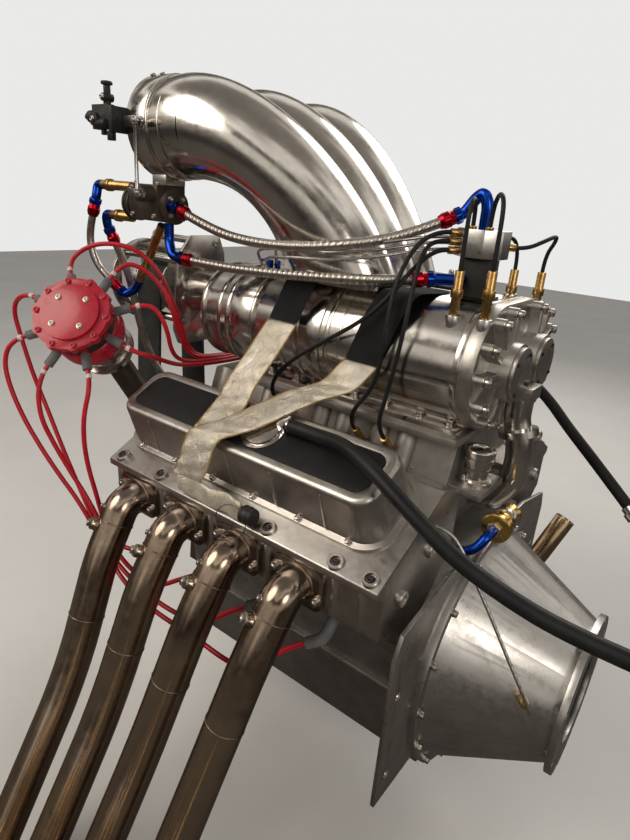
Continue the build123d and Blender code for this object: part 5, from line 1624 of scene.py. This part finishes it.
@dataclass
class Fittings:
    """Red sockets and blue nuts on the fuel hoses' ends."""

    plumbing: Plumbing
    socket: Profile = (
        (-1.5, 0.0), (-1.5, 8.8), (-0.5, 9.6), (3.5, 10.6), (4.5, 11.4), (14.0, 11.4), (15.0, 10.6),
        (16.0, 10.0), (21.0, 10.0), (22.0, 9.4), (22.0, 0.0))
    nut: Triple = (22.4, 32.0, 11.8)

    def build(self) -> None:
        """Adds a socket and a nut at each of the eight ends."""
        near, far, radius = self.nut
        sockets, nuts = [], []
        for points in (self.plumbing.upper, self.plumbing.lower, self.plumbing.returning, self.plumbing.feed):
            for run in (points, points[::-1]):
                end = Vector(run[-1])
                way = (end - Vector(run[-2])).normalized()
                sockets.append(Bench.lathe("socket", self.socket, end, way, 32))
                nuts.append(Bench.rod("nut", end + way * near, end + way * far, radius, 6, 1.2))
        Bench.group("hose_sockets", sockets, RED, ["hose_collars"])
        Bench.group("hose_nuts", nuts, BLUE)


@dataclass
class Restraints:
    """The blower's restraint straps and the creased heat sleeves over them.

    A band's row is x, outward y, z and the outward and upward parts of its normal.
    A hem's corner is how far out it lies and how high, and how much of the fray and wave it takes.
    A crease's wave is its height, how fast it runs along and across the band, and where it starts;
    a hem's waves and frays have no part across.
    """

    width: float = 60.0
    strap_t: float = 3.0
    sleeve_t: float = 7.0
    crease: float = 1.5
    waves: tuple[tuple[float, float, float, float], ...] = (
        (1.0, 0.21, 2.3, 0.0), (0.7, 0.47, -3.9, 1.0), (0.5, 0.93, 6.1, 2.0))
    steps: int = 7
    ring: int = 20
    pull: float = 0.35
    tail_rows: int = 15
    tail_pitch: float = 10.0
    tail_ring: int = 16
    tail_start: Triple = (-392.0, 334.2, 289.0)
    tail_half: float = 16.0
    tail_sway: Profile = ((1.4, 1.1), (1.5, 0.7))
    hem_waves: Route = ((1.1, 0.55, 0.0), (0.8, 1.23, 1.0))
    hem_frays: Route = ((0.7, 0.7, 2.0), (0.5, 1.9, 0.0))
    hem_corners: tuple[tuple[float, float, float, float], ...] = (
        (27.5, 1.6, 0.0, 0.0), (30.8, 2.2, 1.0, 0.5), (31.0, -0.4, 1.0, 1.0), (28.0, -1.8, 0.0, 0.0))
    sleeve_rows: dict[str, Rows] = field(default_factory=lambda: {
        "front": ((-352, 150, 524, 1, 0.35), (-358, 188, 477, 0.8, 0.6), (-364, 228, 432, 0.62, 0.78),
                  (-360, 250, 409.6, 0.469, 0.883), (-350, 300, 383.0, 0.469, 0.883),
                  (-347, 316, 374.6, 0.469, 0.883)),
        "rear": ((-196, 150, 490, 1, 0.2), (-215, 178, 455, 0.8, 0.6), (-253, 217, 435.5, 0.5, 0.86),
                 (-302, 290, 398.2, 0.469, 0.883), (-338, 329, 379, 0.8, 0.6), (-352, 338, 330, 1, 0),
                 (-370, 335, 303, 1, -0.1))})
    strap_rows: dict[str, Rows] = field(default_factory=lambda: {
        "front": ((-352, 149.9, 524.3, 1, 0.35), (-334, 150, 562, 1, 0), (-316, 147.8, 601, 1, 0)),
        "rear": ((-196, 149.94, 490.3, 1, 0.2), (-183, 147, 527, 1, 0.05), (-167, 146, 570, 1, 0.1),
                 (-160, 120, 597, 0.6, 0.8), (-157, 51, 594.9, 0, 1), (-156, 18, 594.9, 0, 1))})

    def smooth_rows(self, rows: Rows, side: int, steps: int) -> list[tuple[Vector, Vector]]:
        """Centres and normals at even steps between the rows, on a line through all of them.

        Args:
            rows: the band's rows.
            side: -1 for the left bank, 1 for the right.
            steps: how many steps lie between two rows.

        Returns:
            A centre and a normal for each step, in millimetres.
        """
        places = [Vector((x, side * y, z)) for x, y, z, _, _ in rows]
        normals = [Vector((0, side * out, up)).normalized() for *_, out, up in rows]
        result = []
        for i in range(len(rows) - 1):
            before, after = places[max(i - 1, 0)], places[min(i + 2, len(rows) - 1)]
            start, end = places[i], places[i + 1]
            a, b = (end - before) * self.pull, (after - start) * self.pull
            for step in range(steps + (i == len(rows) - 2)):
                t = step / steps
                spot = (start * (2 * t ** 3 - 3 * t ** 2 + 1) + a * (t ** 3 - 2 * t ** 2 + t)
                        + end * (-2 * t ** 3 + 3 * t ** 2) + b * (t ** 3 - t ** 2))
                result.append((spot, normals[i].lerp(normals[i + 1], t).normalized()))
        return result

    def band_point(self, centre: Vector, normal: Vector, run: float, angle: float, thick: float,
                   crease: float) -> Vector:
        """A point of a band's flat section, creased by how far along the band it lies.

        Args:
            centre: the section's centre.
            normal: the way out of the band's face.
            run: how far along the band it is.
            angle: where it is round the section.
            thick: the band's thickness.
            crease: the depth of its creases.

        Returns:
            The point, in millimetres.
        """
        flat = abs(cos(angle)) ** 0.35 * (1 if cos(angle) > 0 else -1)
        lift = sin(angle) * (0.72 + 0.28 * abs(sin(angle)))
        waves = sum(tall * sin(run * along + flat * over + start) for tall, along, over, start in self.waves)
        fold = crease * waves * (0.4 + 0.6 * abs(sin(angle)))
        edge = crease * 0.9 * sin(run * 0.33 + 1.3 * flat) + crease * 0.5 * sin(run * 0.81)
        across = flat * (self.width / 2 - 0.4 + edge * abs(flat) ** 6 * 0.6)
        deep = lift * thick / 2 + max(fold, -thick * 0.3) * (1 if lift > 0 else 0.1)
        return centre + Vector((across, 0, 0)) + normal * deep

    def band(self, name: str, rows: Rows, side: int, thick: float, crease: float) -> Object:
        """A flat band round a strap's line, creased across it.

        Args:
            name: the piece's name.
            rows: the band's rows.
            side: -1 for the left bank, 1 for the right.
            thick: its thickness.
            crease: the depth of its creases.

        Returns:
            The piece, with a UV map in metres.
        """
        spine = self.smooth_rows(rows, side, self.steps)
        travelled = [0.0]
        for (a, _), (b, _) in zip(spine, spine[1:]):
            travelled.append(travelled[-1] + (b - a).length)
        points = [self.band_point(centre, normal, run, 2 * pi * step / self.ring, thick, crease) * MM
                  for (centre, normal), run in zip(spine, travelled) for step in range(self.ring)]
        piece = Bench.tube(name, points, self.ring)
        chart = piece.data.uv_layers.new(name="UVMap")
        for face in piece.data.polygons:
            for corner, vertex in zip(face.loop_indices, face.vertices):
                row = vertex // self.ring
                across = piece.data.vertices[vertex].co.x - spine[row][0].x * MM
                chart.data[corner].uv = (travelled[row] * MM, across)
        return Bench.plump(piece)

    def tail(self, side_name: str, side: int) -> Object:
        """The sleeve's folded end, which runs back along the cover's edge."""
        x, y, z = self.tail_start
        points = []
        for row in range(self.tail_rows):
            out, up = (start + tall * sin(row * pace) for start, (tall, pace) in zip((y, z), self.tail_sway))
            for step in range(self.tail_ring):
                angle = 2 * pi * step / self.tail_ring
                tall = abs(cos(angle)) ** 0.5 * (1 if cos(angle) > 0 else -1) * self.tail_half
                deep = sin(angle) * (4.6 + 1.1 * sin(row * 0.9 + 2.0 * cos(angle)))
                points.append(Bench.point((x + self.tail_pitch * row, side * (out + deep),
                                           up + tall + sin(row * 1.3))))
        return Bench.plump(Bench.tube(f"sleeve_tail_{side_name}", points, self.tail_ring))

    def hem(self, name: str, rows: Rows, side: int) -> Object:
        """The frayed golden edges of a sleeve, as two ruffled strips."""
        spine = self.smooth_rows(rows, side, self.steps * 2)
        strips = []
        for edge in BOTH:
            points, run = [], 0.0
            for index, (centre, normal) in enumerate(spine):
                run += (centre - spine[max(index - 1, 0)][0]).length
                wave = sum(tall * sin(run * pace + start * edge) for tall, pace, start in self.hem_waves)
                fray = sum(tall * sin(run * pace + start) for tall, pace, start in self.hem_frays)
                for shift, lift, frayed, waved in self.hem_corners:
                    across = Vector((edge * (shift + frayed * fray), 0, 0))
                    points.append((centre + across + normal * (lift + waved * wave)) * MM)
            strips.append(Bench.tube("hem", points, len(self.hem_corners)))
        return Bench.plump(Bench.join(name, strips))

    def build(self) -> None:
        """Makes the straps, sleeves, hems and tails of both banks."""
        for side_name, side in SIDES:
            for part in ("front", "rear"):
                rows = self.strap_rows[part]
                strap = self.band(f"strap_{part}_{side_name}", rows, side, self.strap_t, 0.0)
                Bench.dress(strap, WEBBING, Body.ENGINE, ["restraint_straps"])
                rows = self.sleeve_rows[part]
                sleeve = self.band(f"sleeve_{part}_{side_name}", rows, side, self.sleeve_t, self.crease)
                Bench.dress(sleeve, SLEEVE, Body.ENGINE, ["strap_sleeves"])
                Bench.dress(self.hem(f"sleeve_hem_{part}_{side_name}", rows, side), HEM_GOLD)
            tail = self.tail(side_name, side)
            Bench.dress(tail, SLEEVE, Body.ENGINE, ["strap_sleeves"])


@dataclass
class HeadDress:
    """Bolt seats on the heads' lower ledges, webs between the ports and the sleeves' pulls."""

    seats_x: tuple[float, ...] = (-548.0, -446.0, -212.0, -94.0, -40.0)
    seat_y: float = 322.0
    seat_z: float = 273.4
    webs_x: tuple[float, ...] = (-560.0, -446.0, -328.5, -211.5, -92.0, -50.0)
    web_r: float = 7.5
    web_top: float = 250.0
    web_foot: float = 188.0
    port_face: float = 318.0
    pull: Triple = (-251.0, 334.0, 288.0)
    wire_centre: Triple = (-262.0, 348.0, 275.0)
    wire_way: Triple = (0.25, 1.0, 0.2)
    wire_r: float = 25.0
    wire_t: float = 0.9
    cup: Profile = ((0.0, 0.0), (0.0, 12.5), (4.6, 11.6), (5.6, 10.6), (5.6, 7.6), (1.4, 7.2), (1.4, 0.0))
    knob: Profile = (
        (0.0, 0.0), (0.0, 11.0), (1.5, 13.0), (5.0, 13.4), (6.0, 12.2), (8.0, 12.2), (9.0, 13.4),
        (14.0, 13.4), (15.0, 12.2), (17.0, 12.2), (18.0, 13.2), (21.0, 12.4), (22.5, 10.0), (22.5, 0.0))

    def build(self) -> None:
        """Adds the pieces of both heads."""
        for side_name, side in SIDES:
            axis = (0, side * sin(BANK_TILT), cos(BANK_TILT))
            spots = [(x, side * self.seat_y, self.seat_z) for x in self.seats_x]
            cups = [Bench.lathe("cup", self.cup, spot, axis, 24) for spot in spots]
            Bench.group(f"head_bolt_seats_{side_name}", cups, COVER_CAST)
            bolts = [(spot, axis) for spot in spots]
            Bolt(Head.SOCKET, 5.4, 3.6).spread(f"head_ledge_bolts_{side_name}", bolts, DARK_BOLT)
            webs = [Bench.rod("web", (x, side * self.port_face, self.web_top),
                              (x, side * (self.port_face - 1.0), self.web_foot), self.web_r, 8, 1.5)
                    for x in self.webs_x]
            Bench.group(f"head_webs_{side_name}", webs, COVER_CAST)
            place, centre, way = ((x, side * y, z)
                                  for x, y, z in (self.pull, self.wire_centre, self.wire_way))
            Bench.dress(Bench.lathe(f"strap_pull_{side_name}", self.knob, place, REARWARD, 28), SATIN_BLACK)
            wire = Bench.torus(self.wire_r, self.wire_t, centre, Bench.turn(way), 56, 6)
            wire.name = f"pull_wire_{side_name}"
            Bench.smooth(wire, BEAD_SMOOTH)
            Bench.dress(wire, STEEL)


@dataclass
class FuelDress:
    """The turned filter, and the screws, plugs and knobs of the fuel valve and cable bracket.

    The filter's band and ends are distances along it; a knob's row is its ends, radius, sides and bevel.
    """

    filter_base: Triple = (39.0, -124.0, 295.0)
    filter_ends: Profile = ((-8.0, 0.4), (61.6, 74.0))
    filter_band: Triple = (34.0, 46.0, 17.6)
    shell: Profile = (
        (0.0, 0.0), (0.0, 19.5), (1.2, 21.8), (3.0, 22.0), (6.4, 22.0), (8.0, 20.6), (8.0, 17.4), (9.5, 16.8),
        (20.0, 16.8), (21.0, 17.4), (26.0, 17.4), (27.0, 16.8), (58.0, 16.8), (60.0, 17.2), (61.0, 16.4),
        (62.0, 14.5), (62.0, 0.0))
    valve: Triple = (-644.0, -170.0, 681.0)
    near_screws: Profile = ((-22.0, -17.0), (-22.0, 27.0), (37.0, -17.0))
    near_y: float = -30.0
    top_screws: Profile = ((-22.0, -22.0), (-22.0, 22.0), (37.0, -22.0), (37.0, 22.0))
    top_z: float = 34.0
    end_x: float = 58.0
    end_screw_r: float = 19.0
    collars_x: tuple[float, ...] = (-57.5, -44.0, 52.0)
    collar: tuple[float, float] = (4.5, 29.0)
    plug: Triple = (-58.0, -68.0, 13.0)
    knobs: tuple[tuple[Triple, Triple, float, int, float], ...] = (
        ((-690, -249, 811), (-704, -249, 811), 9.5, 24, 1.4),
        ((-704, -249, 811), (-712, -249, 811), 6.0, 6, 0.8),
        ((-658, -247, 840), (-658, -247, 856), 5.5, 24, 0.8),
        ((-658, -247, 856), (-658, -247, 861), 9.0, 24, 1.2),
        ((-672, -256, 800), (-650, -256, 800), 7.0, 24, 1.0),
        ((-648, -249, 790), (-648, -249, 776), 7.5, 6, 1.0),
        ((-668, -249, 792), (-668, -249, 784), 5.0, 6, 0.8))
    pins: tuple[tuple[Triple, Triple], ...] = (
        ((-678, -262, 806), (0, -1, 0)), ((-646, -237, 796), FORWARD), ((-646, -229, 818), FORWARD),
        ((-658, -256, 838), (0, -1, 0)), ((-712, -249, 811), FORWARD))

    def fuel_filter(self) -> None:
        """The filter's turned shell, its hexagonal ends and its band."""
        shell = Bench.lathe("fuel_filter_shell", self.shell, self.filter_base, (0, 1, 0), 40)
        Bench.dress(shell, GOLD, Body.ENGINE, ["fuel_filter"])
        x, y, z = self.filter_base
        ends = [Bench.rod("end", (x, y + a, z), (x, y + b, z), 11.0, 6, 1.0) for a, b in self.filter_ends]
        start, stop, radius = self.filter_band
        ends.append(Bench.rod("band", (x, y + start, z), (x, y + stop, z), radius, 36, 0.5))
        Bench.group("fuel_filter_ends", ends, POLISHED)

    def fuel_valve(self) -> None:
        """The valve's screws on four sides, its collars and its plug."""
        x, y, z = self.valve
        screws = [((x + a, y + self.near_y, z + b), (0, -1, 0)) for a, b in self.near_screws]
        screws += [((x + a, y + b, z + self.top_z), UP) for a, b in self.top_screws]
        screws += [((x + way * self.end_x, y + self.end_screw_r * cos(a), z + self.end_screw_r * sin(a)),
                    (way, 0, 0)) for way in (1, -1) for a in map(radians, (45, 135, 225, 315))]
        Bolt(Head.SOCKET, 3.4, 3.0).spread("fuel_valve_screws", screws)
        deep, radius = self.collar
        collars = [Bench.rod("collar", (x + a, y, z), (x + a + deep, y, z), radius, 40, 0.8)
                   for a in self.collars_x]
        start, stop, radius = self.plug
        collars.append(Bench.rod("plug", (x + start, y, z), (x + stop, y, z), radius, 6, 1.2))
        Bench.group("fuel_valve_collars", collars, DARK_CAST)

    def build(self) -> None:
        """Adds every piece."""
        self.fuel_filter()
        self.fuel_valve()
        Bench.group("cable_bracket_knobs", [Bench.rod("knob", *row) for row in self.knobs], SATIN_BLACK)
        Bolt(Head.SOCKET, 3.6, 2.4).spread("cable_bracket_screws", self.pins)


@dataclass(frozen=True)
class Plain:
    """A CAD node whose own shape is right: its edges are rounded and it gets its finish.

    Attributes:
        node: the CAD node.
        finish: its finish.
        width: the rounding of its edges, in millimetres.
        body: the body that it rides on.
    """

    node: str
    finish: Finish
    width: float = 0.8
    body: Body = Body.ENGINE

    def build(self) -> Object:
        """Makes the piece that stands for the node.

        Returns:
            The piece.
        """
        piece = Bench.refined(self.node, f"{self.node}_finished", self.width * MM)
        return Bench.dress(piece, self.finish, self.body, [self.node])


CASTINGS = (
    Plain("block", CAST, 2.5), Plain("intake_manifold", CAST, 2.0),
    Plain("head_left", COVER_CAST, 2.0), Plain("head_right", COVER_CAST, 2.0),
    Plain("valve_cover_left", COVER_CAST, 0.8), Plain("valve_cover_right", COVER_CAST, 0.8),
    Plain("oil_pan", MACHINED, 3.0), Plain("front_cover", DARK_CAST, 1.5),
    Plain("motor_plate", MACHINED, 0.8), Plain("bellhousing", MACHINED, 0.8),
    Plain("clutch", STEEL, 0.8, Body.CRANK),
    Plain("crank_pulley", MACHINED, 0.4, Body.CRANK), Plain("blower_pulley", MACHINED, 0.4, Body.BLOWER),
    Plain("drive_belt", BELT, 0.8), Plain("blower_case", POLISHED, 0.8),
    Plain("blower_gear_case", POLISHED, 0.8), Plain("blower_rear_cover", COVER_CAST, 0.8),
    Plain("bearing_caps", COVER_CAST, 0.8), Plain("drive_plate", POLISHED, 0.8),
    Plain("drive_posts", POLISHED, 0.5), Plain("outboard_plate", POLISHED, 0.8),
    Plain("intake_elbow", POLISHED, 0.0), Plain("throttle_body", POLISHED, 0.8),
    Plain("throttle_shaft", STEEL, 0.4, Body.THROTTLE), Plain("link_rod", STEEL, 0.3, Body.LINK),
    Plain("barrel_valve", DARK_CAST, 1.2), Plain("barrel_lever", STEEL, 0.4, Body.METERING),
    Plain("valve_bracket", MACHINED, 0.8), Plain("cable_bracket", SATIN_BLACK, 0.8),
    Plain("distribution_block", MACHINED, 1.2), Plain("block_bracket", SATIN_BLACK, 1.0),
    Plain("brass_fittings", BRASS, 0.4), Plain("hose_fittings", BLUE, 0.0),
    Plain("hose_ends", POLISHED, 0.8), Plain("fuel_pump", MACHINED, 1.0),
    Plain("vent_tube", POLISHED, 0.0), Plain("breather_left", POLISHED, 0.6),
    Plain("breather_right", POLISHED, 0.6), Plain("distributor_cap", CAP_RED, 1.0),
    Plain("distributor_drive", DARK_CAST, 1.2), Plain("lead_boots", BOOT_GREY, 0.8),
    Plain("headers_left", HEADER, 0.6), Plain("headers_right", HEADER, 0.6),
)


def main() -> None:
    """Builds the engine's sub-assemblies in order."""
    logging.basicConfig(level=logging.INFO, format="%(message)s")
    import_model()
    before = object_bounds()
    Studio().build(before[0].z)
    plumbing = Plumbing()
    plumbing.hoses()
    ignition = Ignition()
    ignition.cords()
    for casting in CASTINGS:
        casting.build()
    for dress in (Fittings(plumbing), DistributorDress(ignition), CoverDress(), BlowerDress(),
                  ManifoldDress(), IntakeDress(), Exhaust(), BottomDress(), Restraints(), HeadDress(),
                  FuelDress()):
        dress.build()
    Bench.clear()


if __name__ == "__main__":
    main()
